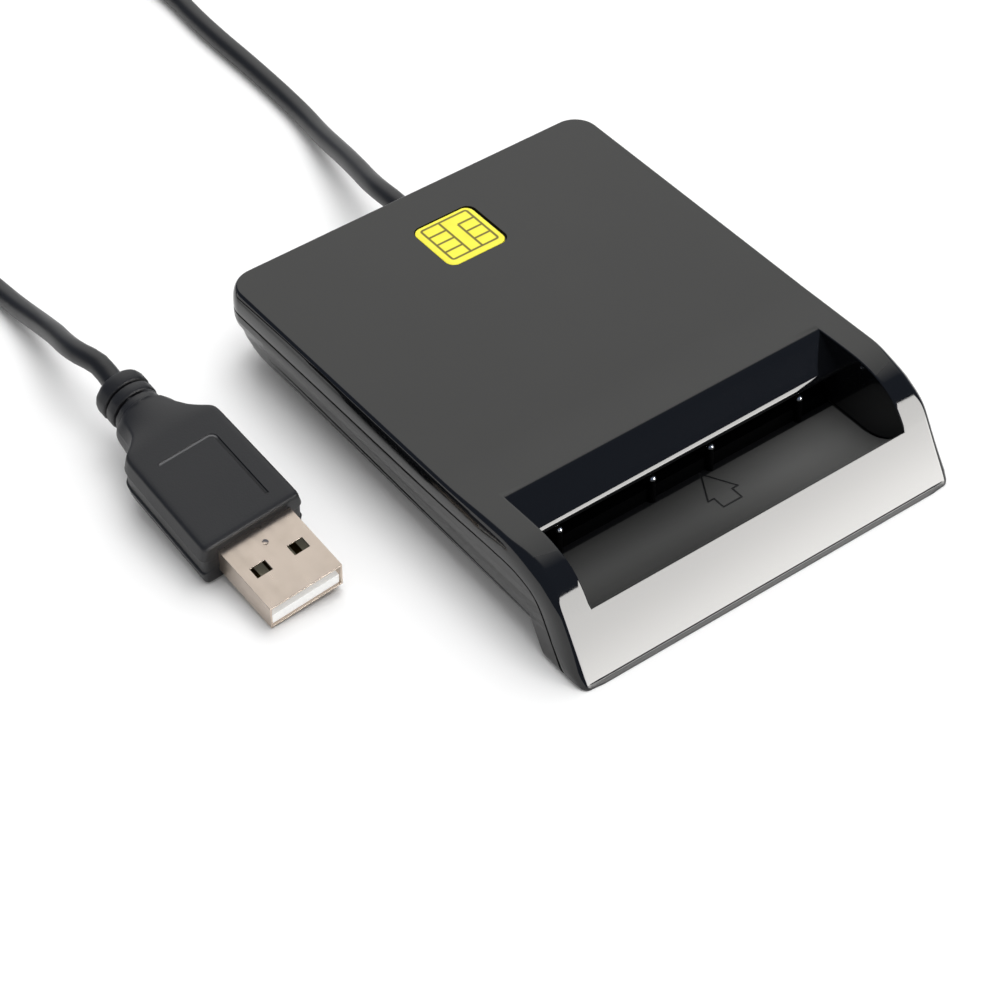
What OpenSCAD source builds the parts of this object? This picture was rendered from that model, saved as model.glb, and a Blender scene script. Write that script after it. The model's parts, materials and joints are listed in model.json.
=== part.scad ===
// Smart card reader for the desk: a flat case with a scooped card mouth, and a lead with a plug.
// X is across the case, Y runs from the mouth to the back, Z is up from the table.

/* [Case] */
// Width of the rims beside the card recess
rim_w = 5.35; // [4.8:0.05:9]
// Length of the case behind the card recess
back_reach = 61.5; // [58.5:0.5:75]
// Thickness of the case from its belly to its flat top
shell_h = 12.6; // [12.2:0.1:14]
// Height of the rubber feet under the belly
foot_h = 2.3; // [1.8:0.1:3]
// Thickness of the side and back walls
wall = 1.6; // [1.4:0.05:1.7]
// Thickness of the roof
roof_t = 1.5; // [1.3:0.05:1.6]
// Thickness of the belly
floor_t = 1.5; // [1.3:0.05:1.7]
// Plan radius of the back corners
corner_r = 4.5; // [3:0.1:5.5]
// Plan radius of the front corners
nose_corner_r = 1.2; // [0.8:0.1:2]
// Radius along the belly's long edges
belly_r = 4.6; // [3.5:0.1:5]
// Radius along the top's long edges and down the nose
edge_r = 1.25; // [1:0.05:1.4]
// Depth of the parting line below the top skin
parting_drop = 3.5; // [3.3:0.05:3.8]
// Gap that shows as the parting line
seam_gap = 0.25; // [0.15:0.05:0.3]

/* [Nose] */
// Height of the low crest in front of the flat top
crest_h = 0.47; // [0.2:0.01:0.6]
// Distance of the crest in front of the recess's back edge
crest_ahead = 7; // [6.5:0.1:7.5]
// Length over which the top rises to the crest
crest_run = 16; // [12:0.5:18]
// Radii of the three curves that turn the top down into the nose
nose_r = [18, 8.5, 14];
// Slope of the nose at the end of each curve
nose_slopes = [20, 48, 60.5];
// Clearance of the nose's foot over the table
nose_lift = 0.1; // [0.1:0.05:0.4]
// Height of the upright lip along the nose's foot
lip_h = 1.35; // [1.2:0.05:1.6]
// Step by which that lip stands in front of the nose
lip_step = 0.45; // [0.3:0.05:0.6]
// Depth of the nose band behind the parting line
band_t = 3.25; // [3:0.05:3.5]

/* [Card path] */
// Width of a card
card_w = 53.98; // [53.9:0.01:54.03]
// Thickness of a card
card_t = 0.76; // [0.68:0.01:0.84]
// Clearance of the recess beside the card
card_gap = 0.76; // [0.6:0.02:1.2]
// Flat stretch of the nose above the recess's front edge
panel_run = 0.45; // [0.2:0.05:0.6]
// Depth of the card's underside below the top
card_drop = 6.2; // [6.1:0.05:6.4]
// Room behind the card's stop for the cable and its socket
tail_room = 19.5; // [18.5:0.5:23]
// Reach of the recess's sloping back wall
brow_reach = 4.5; // [4.2:0.1:4.8]
// Depth of that wall's lower edge below the top
brow_drop = 3.7; // [3.5:0.05:3.75]
// Thickness of that wall
brow_t = 0.85; // [0.7:0.05:0.9]
// Distance from the recess's back edge to where the ramp starts to rise
ramp_start = 10.2; // [9:0.1:11]
// Depth of the jaw's top edge below the top
jaw_drop = 8.65; // [8.5:0.05:8.8]
// Distance of the jaw's face in front of the recess's back edge
jaw_ahead = 3.3; // [3.1:0.1:3.4]
// Diameter of a guide stud
stud_d = 1.1; // [0.9:0.05:1.3]

/* [Electronics] */
// Distance of the circuit board's sides inside the card's edges
board_in = 8.5; // [8:0.1:9.5]
// Circuit board's thickness
board_t = 1.2; // [1:0.1:1.3]
// Height of the bosses under the board
boss_h = 1; // [0.8:0.05:1.1]
// Width of a contact finger
finger_w = 1; // [0.8:0.05:1.1]
// Thickness of a contact finger
finger_t = 0.2; // [0.15:0.01:0.22]
// Height of a contact's crown over the card's underside
crown_lift = 0.7; // [0.5:0.05:0.8]
// Travel of the card switch's plunger
switch_travel = 1.2; // [0.8:0.1:1.3]

/* [Badge] */
// Width of the badge
badge_w = 10.2; // [9:0.1:11]
// Length of the badge
badge_l = 10.6; // [9.5:0.1:11.5]
// Corner radius of the badge
badge_r = 1.6; // [1:0.1:2]
// Distance of the badge's centre from the back of the case
badge_in = 13.4; // [12:0.1:16]
// Thickness of the badge
badge_t = 0.5; // [0.4:0.05:0.55]

/* [Cord and plug] */
// Diameter of the cord
cord_d = 3.3; // [3.1:0.05:3.4]
// Pitch of the coil's turns, and of its two layers
coil_pitch = 3.9; // [3.9:0.05:4.1]
// Turns in the coil
coil_turns = 6.25; // [4.25:1:8.25]
// Radius of the coil's outermost turn
coil_r = 25; // [24:0.1:27]
// Length of the plug's metal shell in front of its grip
plug_reach = 12; // [11.6:0.1:12.4]
// Width of the plug's metal shell
plug_w = 12; // [11.9:0.05:12.1]
// Height of the plug's metal shell
plug_h = 4.5; // [4.4:0.05:4.6]
// Width of the plug's grip
grip_w = 16.2; // [15.5:0.1:17]
// Height of the plug's grip
grip_h = 8.3; // [7.8:0.1:8.5]
// Length of the plug's grip at its full width
grip_l = 18.5; // [17:0.5:19.5]

/* [Hidden] */

$fn = 48;
cut = 0.5;
fit = 0.1;
arc_steps = 8;

black = [0.09, 0.09, 0.1];
dark = [0.2, 0.2, 0.2];
gold = [0.85, 0.68, 0.3];
steel = [0.72, 0.72, 0.74];

recess_w = card_w + 2 * card_gap;
body_w = recess_w + 2 * rim_w;
card_depth = back_reach - tail_room;
badge_y = back_reach - badge_in;
top_z = foot_h + shell_h;
floor_drop = shell_h - floor_t;
nose_drop = top_z - nose_lift;

// The nose in the side view. Places are [y, z] from the recess's back edge at the flat top.
crest = [-crest_ahead, crest_h];
function slope_dir(a) = [-sin(a), cos(a)];
c1 = crest - [0, nose_r[0]];
c2 = c1 + (nose_r[0] - nose_r[1]) * slope_dir(nose_slopes[0]);
c3 = c2 + (nose_r[1] - nose_r[2]) * slope_dir(nose_slopes[1]);
nose_tan = tan(nose_slopes[2]);

function crest_z(y) = let (t = (crest_run - crest_ahead - y) / crest_run)
    crest_h * (1 - cos(180 * max(0, min(1, t)))) / 2;
function arc_at(c, r, a0, a1) = [for (k = [1:arc_steps]) c + r * slope_dir(a0 + (a1 - a0) * k / arc_steps)];
function straight_from(inset) = c3 + (nose_r[2] - inset) * slope_dir(nose_slopes[2]);
function straight_y(inset, drop) = let (p = straight_from(inset)) p.x - (p.y + drop) / nose_tan;

// The line that runs at one depth below the nose's skin, down to a given drop
function nose_line(inset, drop) = concat(
    arc_at(c2, nose_r[1] - inset, nose_slopes[0], nose_slopes[1]),
    arc_at(c3, nose_r[2] - inset, nose_slopes[1], nose_slopes[2]),
    [[straight_y(inset, drop), -drop]]
);

// The same line from the back, over the crest and down the nose
function skin(inset, back, drop) = concat(
    [[back, crest_z(back) - inset]],
    [for (k = [0:arc_steps + 1]) let (y = crest_run - crest_ahead - crest_run * k / (arc_steps + 1))
        if (y < back) [y, crest_z(y) - inset]],
    arc_at(c1, nose_r[0] - inset, 0, nose_slopes[0]),
    nose_line(inset, drop)
);
function flipped(points) = [for (k = [len(points) - 1:-1:0]) points[k]];

lip_taper_share = 0.25;
lip_drop = nose_drop - lip_h;
lip_top_y = straight_y(0, lip_drop);
nose_reach = -lip_top_y + lip_step + lip_taper_share * lip_h;
recess_y = (nose_reach - back_reach) / 2;
recess_l = -straight_from(0).x + panel_run;
front_y = -nose_reach;

inner_w = body_w - 2 * wall;
inner_back = back_reach - wall;
tongue_t = 0.8;
tongue_h = 1.1;

module at_recess() {
    translate([0, recess_y, top_z]) children();
}

// A shape drawn in the side view, as wide as w
module across(w) {
    rotate([90, 0, 90]) linear_extrude(w, center = true) children();
}

// A box in the plan with its own back and front corner radii
module rounded_plan(w, y0, y1, back_r, front_r) {
    translate([-w / 2, y0 + front_r]) square([w, y1 - y0 - front_r - back_r]);
    translate([-w / 2 + back_r, y0 + front_r]) square([w - 2 * back_r, y1 - y0 - front_r]);
    translate([-w / 2 + front_r, y0]) square([w - 2 * front_r, y1 - y0 - back_r]);
    for (s = [-1, 1]) {
        translate([s * (w / 2 - back_r), y1 - back_r]) circle(back_r);
        translate([s * (w / 2 - front_r), y0 + front_r]) circle(front_r);
    }
}

module plan_block(inset) {
    translate([0, 0, -nose_drop - cut]) linear_extrude(nose_drop + crest_h + 2 * cut)
        rounded_plan(body_w - 2 * inset, front_y, back_reach - inset, corner_r - inset, nose_corner_r);
}

// A block whose rounded top edges run along the skin where it slopes at a
module edge_block(a, touch) {
    reach = back_reach + nose_reach + nose_drop;
    translate([0, touch.x, touch.y]) rotate([a, 0, 0]) translate([0, reach, 0])
        rotate([90, 0, 0]) linear_extrude(2 * reach) {
            translate([-body_w / 2, -reach]) square([body_w, reach - edge_r]);
            translate([-body_w / 2 + edge_r, -reach]) square([body_w - 2 * edge_r, reach]);
            for (s = [-1, 1]) translate([s * (body_w / 2 - edge_r), -edge_r]) circle(edge_r);
        }
}

// The belly seen from the front, pushed out from the nose to the back
module belly_block(inset, drop) {
    w = body_w - 2 * inset;
    r = belly_r - inset;
    translate([0, back_reach, 0]) rotate([90, 0, 0]) linear_extrude(back_reach + nose_reach) {
        translate([-w / 2, -drop + r]) square([w, drop]);
        translate([-w / 2 + r, -drop]) square([w - 2 * r, drop]);
        for (s = [-1, 1]) translate([s * (w / 2 - r), -drop + r]) circle(r);
    }
}

badge_gap = 0.2;
stop_t = 1.5;
post_d = 5;
post_in = 8.6;
post_x = body_w / 2 - post_in;
post_y = back_reach - 6.5;
post_drop = 5;
screw_d = 2;
screw_head_d = 3.8;
screw_head_t = 1.4;
grommet_d = 4.3;
grommet_flange_d = 6.4;
grommet_flange_t = 1;
exit_drop = parting_drop + seam_gap;
recess_wall_t = 1.2;
recess_wall_back = 1.5;
recess_floor_gap = 0.2;
rail_t = 1;
rail_gap = 0.12;
rail_x = card_w / 2 + rail_gap;
hold_in = 11;
hold_x = card_w / 2 - hold_in;
hold_t = 1.2;
hold_front = 3;
hold_clear = 0.4;

module badge_outline(grow) {
    translate([0, badge_y]) rounded_plan(
        badge_w + 2 * grow, -badge_l / 2 - grow, badge_l / 2 + grow, badge_r + grow, badge_r + grow);
}

module exit_bore(d) {
    translate([0, back_reach + cut, -exit_drop]) rotate([90, 0, 0]) cylinder(h = wall + tongue_t + 3 * cut, d = d);
}

module cover_section() {
    foot_y = front_y;
    polygon(concat(
        skin(0, back_reach, lip_drop),
        [[lip_top_y - lip_step, -lip_drop], [foot_y, -nose_drop]],
        flipped(skin(parting_drop, back_reach, nose_drop))
    ));
}

// The nose, deep enough to hold the wall behind its face
module cover_cavity_section() {
    polygon(concat(skin(roof_t, inner_back, nose_drop + cut), [[inner_back, -nose_drop - cut]]));
}

module recess_mouth_section() {
    polygon([[0, crest_h + cut], [0, -floor_drop], [-recess_l, -floor_drop], [-recess_l, crest_h + cut]]);
}

brow_back = 2.4;
module brow_section() {
    edge = [-brow_reach, -brow_drop];
    polygon([[0, crest_z(0)], edge, edge + [brow_t / 2, -brow_t],
        [brow_back - brow_reach, -brow_drop - brow_t], [brow_back, -roof_t], [brow_back, -roof_t / 2]]);
    translate(edge + [brow_t / 2, -brow_t / 2]) circle(brow_t / 2);
}

module recess_side_section() {
    intersection() {
        polygon(concat(skin(roof_t / 2, recess_wall_back, nose_drop), [[recess_wall_back, -nose_drop]]));
        translate([front_y, -floor_drop + recess_floor_gap])
            square([recess_wall_back - front_y, floor_drop]);
    }
}

hook_w = 4;
hook_t = 0.7;
hook_reach = 0.7;
hook_x = 15;
foot_plate_t = 1.2;
nose_gap = 0.2;
hook_drop = nose_drop - foot_plate_t;

module top_cover() color(black) at_recess() {
    difference() {
        union() {
            difference() {
                intersection() {
                    across(body_w) cover_section();
                    plan_block(0);
                    edge_block(0, crest);
                    edge_block((nose_slopes[0] + nose_slopes[1]) / 2,
                        c2 + nose_r[1] * slope_dir((nose_slopes[0] + nose_slopes[1]) / 2));
                    edge_block(nose_slopes[2], straight_from(0));
                }
                intersection() {
                    across(inner_w) cover_cavity_section();
                    plan_block(wall);
                }
                across(recess_w) recess_mouth_section();
            }
            across(recess_w + 2 * recess_wall_t) brow_section();
            for (s = [-1, 1]) {
                translate([s * (recess_w + recess_wall_t) / 2, 0, 0]) across(recess_wall_t) recess_side_section();
                translate([s * hold_x - hold_t / 2, hold_front, -card_drop + card_t + hold_clear])
                    cube([hold_t, card_depth - hold_front, card_drop - card_t - hold_clear - roof_t / 2]);
                translate([s * post_x, post_y, -post_drop]) cylinder(h = post_drop - roof_t / 2, d = post_d);
            }
        }
        translate([0, 0, -badge_t]) linear_extrude(badge_t + cut) badge_outline(badge_gap);
        exit_bore(grommet_d + fit);
        for (s = [-1, 1]) {
            translate([s * post_x, post_y, -post_drop - cut])
                cylinder(h = post_drop - roof_t + cut, d = screw_d + fit);
            translate([s * hook_x - hook_w / 2 - fit, straight_y(roof_t, hook_drop) - hook_reach, -hook_drop - fit])
                cube([hook_w + 2 * fit, hook_reach + roof_t, hook_t + 2 * fit]);
        }
    }
}

module belly_profile() {
    behind = parting_drop + seam_gap + band_t;
    low = back_reach - belly_r;
    polygon(concat(
        skin(parting_drop + seam_gap, back_reach, nose_drop),
        [[straight_y(behind, nose_drop), -nose_drop], [straight_y(behind, shell_h), -shell_h],
            [low, -shell_h], [back_reach, -shell_h + belly_r]]
    ));
    intersection() {
        translate([low, -shell_h + belly_r]) circle(belly_r);
        translate([low, -shell_h]) square(belly_r);
    }
}

module nose_band_section() {
    front = parting_drop + seam_gap;
    polygon(concat(nose_line(front, nose_drop), flipped(nose_line(front + band_t, nose_drop))));
}

module tray_hollow_section() {
    r = belly_r - wall;
    translate([front_y, -floor_drop]) square([inner_back - r - front_y, floor_drop]);
    translate([front_y, -floor_drop + r]) square([inner_back - front_y, floor_drop]);
    translate([inner_back - r, -floor_drop + r]) circle(r);
}

module nose_hollow_section() {
    back_of_nose = parting_drop + seam_gap + band_t - wall;
    polygon([
        [straight_y(back_of_nose, floor_drop - fit), -floor_drop + fit],
        [straight_y(back_of_nose, nose_drop - foot_plate_t), -nose_drop + foot_plate_t],
        [front_y - cut, -nose_drop + foot_plate_t],
        [front_y - cut, -floor_drop + fit]
    ]);
}

ramp_gap = 0.2;
ramp_tip = [-recess_l + ramp_gap, straight_from(0).y - (panel_run - ramp_gap) * nose_tan];
ramp_dx = -ramp_tip.x - ramp_start;
ramp_dz = floor_drop + ramp_tip.y;
ramp_r = (ramp_dx * ramp_dx + ramp_dz * ramp_dz) / (2 * ramp_dz);
ramp_fn = 120;

module ramp_section() {
    centre = [-ramp_start, -floor_drop + ramp_r];
    intersection() {
        difference() {
            translate(centre) circle(ramp_r + floor_t, $fn = ramp_fn);
            translate(centre) circle(ramp_r, $fn = ramp_fn);
        }
        polygon([[ramp_tip.x, ramp_tip.y], [ramp_tip.x, -nose_drop], [-ramp_start, -nose_drop],
            [-ramp_start, ramp_tip.y]]);
        polygon(concat(skin(roof_t + nose_gap, 0, nose_drop), [[0, -nose_drop]]));
    }
}

module nose_plate_section() {
    front_inset = roof_t + nose_gap;
    back_inset = parting_drop + seam_gap + band_t - wall / 2;
    polygon([
        [straight_y(front_inset, nose_drop), -nose_drop],
        [straight_y(front_inset, hook_drop), -hook_drop],
        [straight_y(back_inset, hook_drop), -hook_drop],
        [straight_y(back_inset, nose_drop), -nose_drop]
    ]);
}

jaw_t = 1.5;
stud_ahead = 0.25;
stud_in = 5.5;
stud_x = [5.2, card_w / 2 - stud_in];
stop_h = 1.6;
stop_in = 5;
stop_x = card_w / 2 - stop_in;
stop_w = 3.4;
board_back = back_reach - 5.5;
board_w = card_w - 2 * board_in;
boss_d = 4.5;
boss_inset = 2.6;
board_screw_d = 1.6;
board_head_d = 3.2;
board_head_t = 1.2;
foot_d = 9;
foot_pocket = 0.5;
foot_in = 12.1;
foot_x = body_w / 2 - foot_in;
foot_back_in = 16.5;
foot_ys = [-6, back_reach - foot_back_in];
post_wall_d = 5.6;
counterbore_d = screw_head_d + 0.4;
counterbore_h = 1.7;

// Contact places on a card: two columns of four, counted from its leading and its left long edge
contact_columns = [11.25, 18.87];
contact_pitch = 2.54;
contact_offset = 3.1;
arm_l = 5;
root_d = 0.7;
root_drop = card_drop + 1.25;
crown_d = 1.1;
pocket_front = 0.65;
pocket_back = 1.55;
pocket_side = 0.2;
pocket_floor = 0.35;
root_clear = 0.03;
connector_margin = 2.2;
connector_front = crown_y(1) - arm_l - pocket_front - connector_margin;
board_front = connector_front - 2.28;
board_l = board_back - board_front;

function contact_x(row) = -contact_offset + (row - 1.5) * contact_pitch;
function crown_y(col) = card_depth - contact_columns[col];

module boss_places() {
    for (sx = [-1, 1], y = [board_front + boss_inset, board_front + board_l - boss_inset])
        translate([sx * (board_w / 2 - boss_inset), y, 0]) children();
}

module card_rail() {
    rail_l = card_depth + jaw_ahead - jaw_t;
    step_w = 1.6;
    low_h = floor_drop - card_drop - fit / 2;
    high_h = low_h + card_t;
    translate([rail_x - step_w, -jaw_ahead + jaw_t, -floor_drop]) cube([step_w, rail_l, low_h]);
    translate([rail_x, recess_wall_back + fit, -floor_drop])
        cube([rail_t, rail_l - recess_wall_back - jaw_ahead + jaw_t - fit, high_h]);
}

arrow_x = 3.5;
arrow_tip_y = -3.7;
arrow_head = [5.4, 4.9];
arrow_stem = [3.3, 2.1];
arrow_line = 0.3;
arrow_deep = 0.2;

module stroke(a, b) {
    translate(a) rotate(atan2(b.y - a.y, b.x - a.x)) translate([-arrow_line / 2, -arrow_line / 2])
        square([norm(b - a) + arrow_line, arrow_line]);
}

// The arrow cut into the ramp, which points into the slot
module arrow_cut() {
    base = arrow_tip_y - arrow_head.y;
    translate([arrow_x, 0, -floor_drop - arrow_deep]) linear_extrude(2 * arrow_deep) {
        for (s = [-1, 1]) {
            stroke([0, arrow_tip_y], [s * arrow_head.x / 2, base]);
            stroke([s * arrow_head.x / 2, base], [s * arrow_stem.x / 2, base]);
            stroke([s * arrow_stem.x / 2, base], [s * arrow_stem.x / 2, base - arrow_stem.y]);
        }
        stroke([-arrow_stem.x / 2, base - arrow_stem.y], [arrow_stem.x / 2, base - arrow_stem.y]);
    }
}

module bottom_shell() color(dark) at_recess() {
    tongue_in = wall + 3 * fit / 2;
    difference() {
        union() {
            difference() {
                intersection() {
                    union() {
                        intersection() {
                            across(body_w) belly_profile();
                            belly_block(0, shell_h);
                        }
                        across(body_w) nose_band_section();
                    }
                    plan_block(0);
                }
                intersection() {
                    union() {
                        intersection() {
                            across(inner_w) tray_hollow_section();
                            belly_block(wall, floor_drop);
                        }
                        across(inner_w) nose_hollow_section();
                    }
                    plan_block(wall);
                }
            }
            // The tongue that stands up inside the cover's walls
            difference() {
                translate([0, 0, -floor_drop]) linear_extrude(floor_drop - exit_drop + tongue_h)
                    rounded_plan(body_w - 2 * tongue_in, 0, back_reach - tongue_in, corner_r - tongue_in, fit);
                translate([0, 0, -floor_drop - cut]) linear_extrude(floor_drop + cut)
                    rounded_plan(body_w - 2 * (tongue_in + tongue_t), -cut, back_reach - tongue_in - tongue_t,
                        corner_r - tongue_in - tongue_t, fit);
            }
            difference() {
                translate([0, 0, -floor_drop]) linear_extrude(floor_drop - exit_drop)
                    rounded_plan(body_w - 2 * wall + fit, 0, back_reach - wall + fit, corner_r - wall, fit);
                translate([0, 0, -floor_drop - cut]) linear_extrude(floor_drop + cut)
                    rounded_plan(body_w - 2 * (tongue_in + tongue_t), -cut, back_reach - tongue_in - tongue_t,
                        corner_r - tongue_in - tongue_t, fit);
            }
            across(recess_w - 2 * ramp_gap) ramp_section();
            across(inner_w - 2 * nose_gap) nose_plate_section();
            translate([-recess_w / 2 + ramp_gap, -jaw_ahead, -floor_drop])
                cube([recess_w - 2 * ramp_gap, jaw_t, floor_drop - jaw_drop]);
            for (s = [-1, 1]) {
                for (x = stud_x) translate([s * x, -jaw_ahead - stud_ahead, -floor_drop]) {
                    cylinder(h = floor_drop - card_drop - stud_d / 2 - fit, d = stud_d);
                    translate([0, 0, floor_drop - card_drop - stud_d / 2 - fit]) sphere(d = stud_d);
                }
                translate([s * stop_x - stop_w / 2, card_depth, -floor_drop])
                    cube([stop_w, stop_t, floor_drop - card_drop + stop_h]);
                translate([s * post_x, post_y, -floor_drop])
                    cylinder(h = floor_drop - post_drop, d = post_wall_d);
                translate([s * hook_x - hook_w / 2, straight_y(roof_t, hook_drop) - hook_reach + fit, -hook_drop])
                    cube([hook_w, hook_reach + nose_gap + hook_t, hook_t]);
            }
            card_rail();
            mirror([1, 0, 0]) card_rail();
            boss_places() translate([0, 0, -floor_drop]) cylinder(h = boss_h, d = boss_d);
        }
        arrow_cut();
        exit_bore(grommet_d + fit);
        boss_places() translate([0, 0, -floor_drop - boss_h]) cylinder(h = 2 * boss_h + cut, d = board_screw_d + fit);
        for (s = [-1, 1]) {
            translate([s * post_x, post_y, -shell_h - cut])
                cylinder(h = floor_drop + floor_t - post_drop + 2 * cut, d = screw_d + 2 * fit);
            translate([s * post_x, post_y, -shell_h - cut]) cylinder(h = counterbore_h + cut, d = counterbore_d);
            for (y = foot_ys) translate([s * foot_x, y, -shell_h - cut])
                cylinder(h = foot_pocket + cut, d = foot_d + 2 * fit);
        }
    }
}

module foot(x, y) color(black) at_recess() translate([x, y, -top_z]) {
    tip_r = 0.6;
    rotate_extrude() {
        square([foot_d / 2 - tip_r, foot_h + foot_pocket]);
        translate([0, tip_r]) square([foot_d / 2, foot_h + foot_pocket - tip_r]);
        translate([foot_d / 2 - tip_r, tip_r]) circle(tip_r);
    }
}

// A screw that points up, with its head's underside at z 0
module screw_up(d, l, head_d, head_t, drive_w) {
    difference() {
        union() {
            translate([0, 0, -head_t]) cylinder(h = head_t, d = head_d);
            cylinder(h = l, d = d);
        }
        for (a = [0, 90]) rotate([0, 0, a])
            translate([-head_d * drive_share / 2, -drive_w / 2, -head_t - cut])
                cube([head_d * drive_share, drive_w, head_t / 2 + cut]);
    }
}
drive_share = 0.62;
drive_w = 0.5;

module case_screws() color(steel) at_recess() {
    for (s = [-1, 1]) translate([s * post_x, post_y, -shell_h + counterbore_h])
        screw_up(screw_d, shell_h - counterbore_h - roof_t - 2 * fit, screw_head_d, screw_head_t, drive_w);
}

board_z = -floor_drop + boss_h;
board_top = board_z + board_t;

module circuit_board() color([0.1, 0.35, 0.2]) at_recess() {
    difference() {
        translate([-board_w / 2, board_front, board_z]) cube([board_w, board_l, board_t]);
        boss_places() translate([0, 0, board_z - cut]) cylinder(h = board_t + 2 * cut, d = board_screw_d + 2 * fit);
    }
}

module board_screws() color(steel) at_recess() {
    boss_places() translate([0, 0, board_top]) rotate([180, 0, 0])
        screw_up(board_screw_d, board_t + 2 * boss_h - 2 * fit, board_head_d, board_head_t, drive_w);
}

connector_h = -card_drop - 0.45 - board_top;

module card_connector() color([0.13, 0.13, 0.14]) at_recess() {
    y0 = connector_front;
    y1 = crown_y(0) + pocket_back + connector_margin;
    half = 1.5 * contact_pitch + finger_w / 2 + pocket_side + connector_margin;
    difference() {
        translate([-contact_offset - half, y0, board_top]) cube([2 * half, y1 - y0, connector_h]);
        for (col = [0, 1], row = [0:3]) translate([contact_x(row) - finger_w / 2 - pocket_side, crown_y(col), 0]) {
            translate([0, -arm_l - pocket_front, -root_drop - root_d / 2 - root_clear])
                cube([finger_w + 2 * pocket_side, arm_l + pocket_front, connector_h]);
            translate([0, -arm_l + root_d, board_top + pocket_floor])
                cube([finger_w + 2 * pocket_side, arm_l + pocket_back - root_d, connector_h]);
        }
        // A lead-in along the edge that meets the card first
        translate([0, y0, board_top + connector_h]) rotate([45, 0, 0])
            cube([2 * half + 2 * contact_offset + cut, finger_w, finger_w], center = true);
    }
}

// One spring finger: a rolled root, a straight arm and a crown, cut from one strip
module contact(index) color(gold) at_recess() {
    col = index < 4 ? 0 : 1;
    row = index % 4;
    crown = [crown_y(col), -card_drop + crown_lift - crown_d / 2];
    root = [crown_y(col) - arm_l, -root_drop];
    lean = atan2(crown.y + crown_d / 2 - finger_t - root.y, arm_l);
    arm = norm(crown + [0, crown_d / 2 - finger_t] - root);
    translate([contact_x(row), 0, 0]) across(finger_w) {
        translate(root) circle(root_d / 2);
        translate(root) rotate(lean) translate([0, -finger_t / 2]) square([arm, finger_t]);
        intersection() {
            translate(crown) difference() {
                circle(crown_d / 2);
                circle(crown_d / 2 - finger_t);
            }
            translate([crown.x - crown_d / 2, crown.y - finger_t]) square([2 * crown_d, crown_d]);
        }
    }
}

switch_x = 12.5;
switch_l = 6;
switch_w = 5;
switch_top = card_drop - 1.4;
plunger_w = 2;
plunger_h = 1.2;
plunger_out = 1.3;
plunger_l = 4.4;
plunger_z = -card_drop + card_t / 2;
switch_front = card_depth + 0.2;

module switch_housing() color([0.16, 0.16, 0.17]) at_recess() {
    bore_l = plunger_l - plunger_out + switch_travel + 4 * fit;
    difference() {
        translate([switch_x - switch_w / 2, switch_front, board_top])
            cube([switch_w, switch_l, -switch_top - board_top]);
        translate([switch_x - plunger_w / 2 - fit, switch_front - cut, plunger_z - plunger_h / 2 - fit])
            cube([plunger_w + 2 * fit, bore_l + cut, plunger_h + 2 * fit]);
    }
}

module switch_plunger() color([0.85, 0.83, 0.78]) at_recess() {
    nose_y = switch_front - plunger_out;
    translate([switch_x, nose_y + plunger_h / 2, plunger_z]) rotate([0, 90, 0])
        cylinder(h = plunger_w, d = plunger_h, center = true);
    translate([switch_x - plunger_w / 2, nose_y + plunger_h / 2, plunger_z - plunger_h / 2])
        cube([plunger_w, plunger_l - plunger_h / 2, plunger_h]);
}

chip_w = 5.4;
chip_l = 9.9;
chip_h = 1.6;
chip_x = -9;
chip_in = 10;
chip_y = board_back - chip_in;
chip_lift = 0.15;
lead_pitch = 1.27;
lead_w = 0.4;
lead_t = 0.2;
lead_out = 1.1;
lead_rise = 0.7;
leads_a_side = 7;

module controller_chip() color([0.08, 0.08, 0.09]) at_recess() {
    dot_d = 0.8;
    translate([chip_x, chip_y, board_top + chip_lift]) difference() {
        translate([-chip_w / 2, -chip_l / 2, 0]) cube([chip_w, chip_l, chip_h]);
        translate([-chip_w / 4, chip_l / 2 - dot_d, chip_h - lead_t]) cylinder(h = lead_t + cut, d = dot_d);
    }
}

module chip_leads() color(steel) at_recess() {
    for (s = [0, 1], k = [0:leads_a_side - 1])
        translate([chip_x, chip_y + (k - (leads_a_side - 1) / 2) * lead_pitch, board_top])
            mirror([s, 0, 0]) translate([chip_w / 2, -lead_w / 2, 0]) {
                translate([0, 0, lead_rise]) cube([lead_out / 2 + lead_t / 2, lead_w, lead_t]);
                translate([lead_out / 2 - lead_t / 2, 0, 0]) cube([lead_t, lead_w, lead_rise + lead_t]);
                translate([lead_out / 2 - lead_t / 2, 0, 0]) cube([lead_out / 2 + lead_t / 2, lead_w, lead_t]);
            }
}

crystal_w = 3.2;
crystal_l = 5;
crystal_h = 1;
crystal_x = -1.5;

module clock_crystal() color(steel) at_recess() {
    lid_in = 0.3;
    translate([crystal_x - crystal_w / 2, chip_y - crystal_l / 2, board_top]) {
        cube([crystal_w, crystal_l, crystal_h / 2]);
        translate([lid_in, lid_in, 0]) cube([crystal_w - 2 * lid_in, crystal_l - 2 * lid_in, crystal_h]);
    }
}

small_w = 0.8;
small_l = 1.6;
small_y = board_front + 6;
small_step = 2.6;
capacitor_h = 0.8;
capacitor_x = 7;
resistor_h = 0.45;
resistor_x = 11;

module small_parts(x, count, h) {
    for (k = [0:count - 1]) translate([x - small_l / 2, small_y + k * small_step, board_top])
        cube([small_l, small_w, h]);
}

module board_capacitors() color([0.7, 0.55, 0.35]) at_recess() small_parts(capacitor_x, 5, capacitor_h);

module board_resistors() color([0.12, 0.12, 0.13]) at_recess() small_parts(resistor_x, 6, resistor_h);

socket_w = 8.6;
socket_l = 4;
socket_h = 3.2;
socket_wall = 0.6;
socket_y = board_front + board_l - socket_l - 0.8;
wire_d = 0.8;
wire_step = 1.6;

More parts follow.
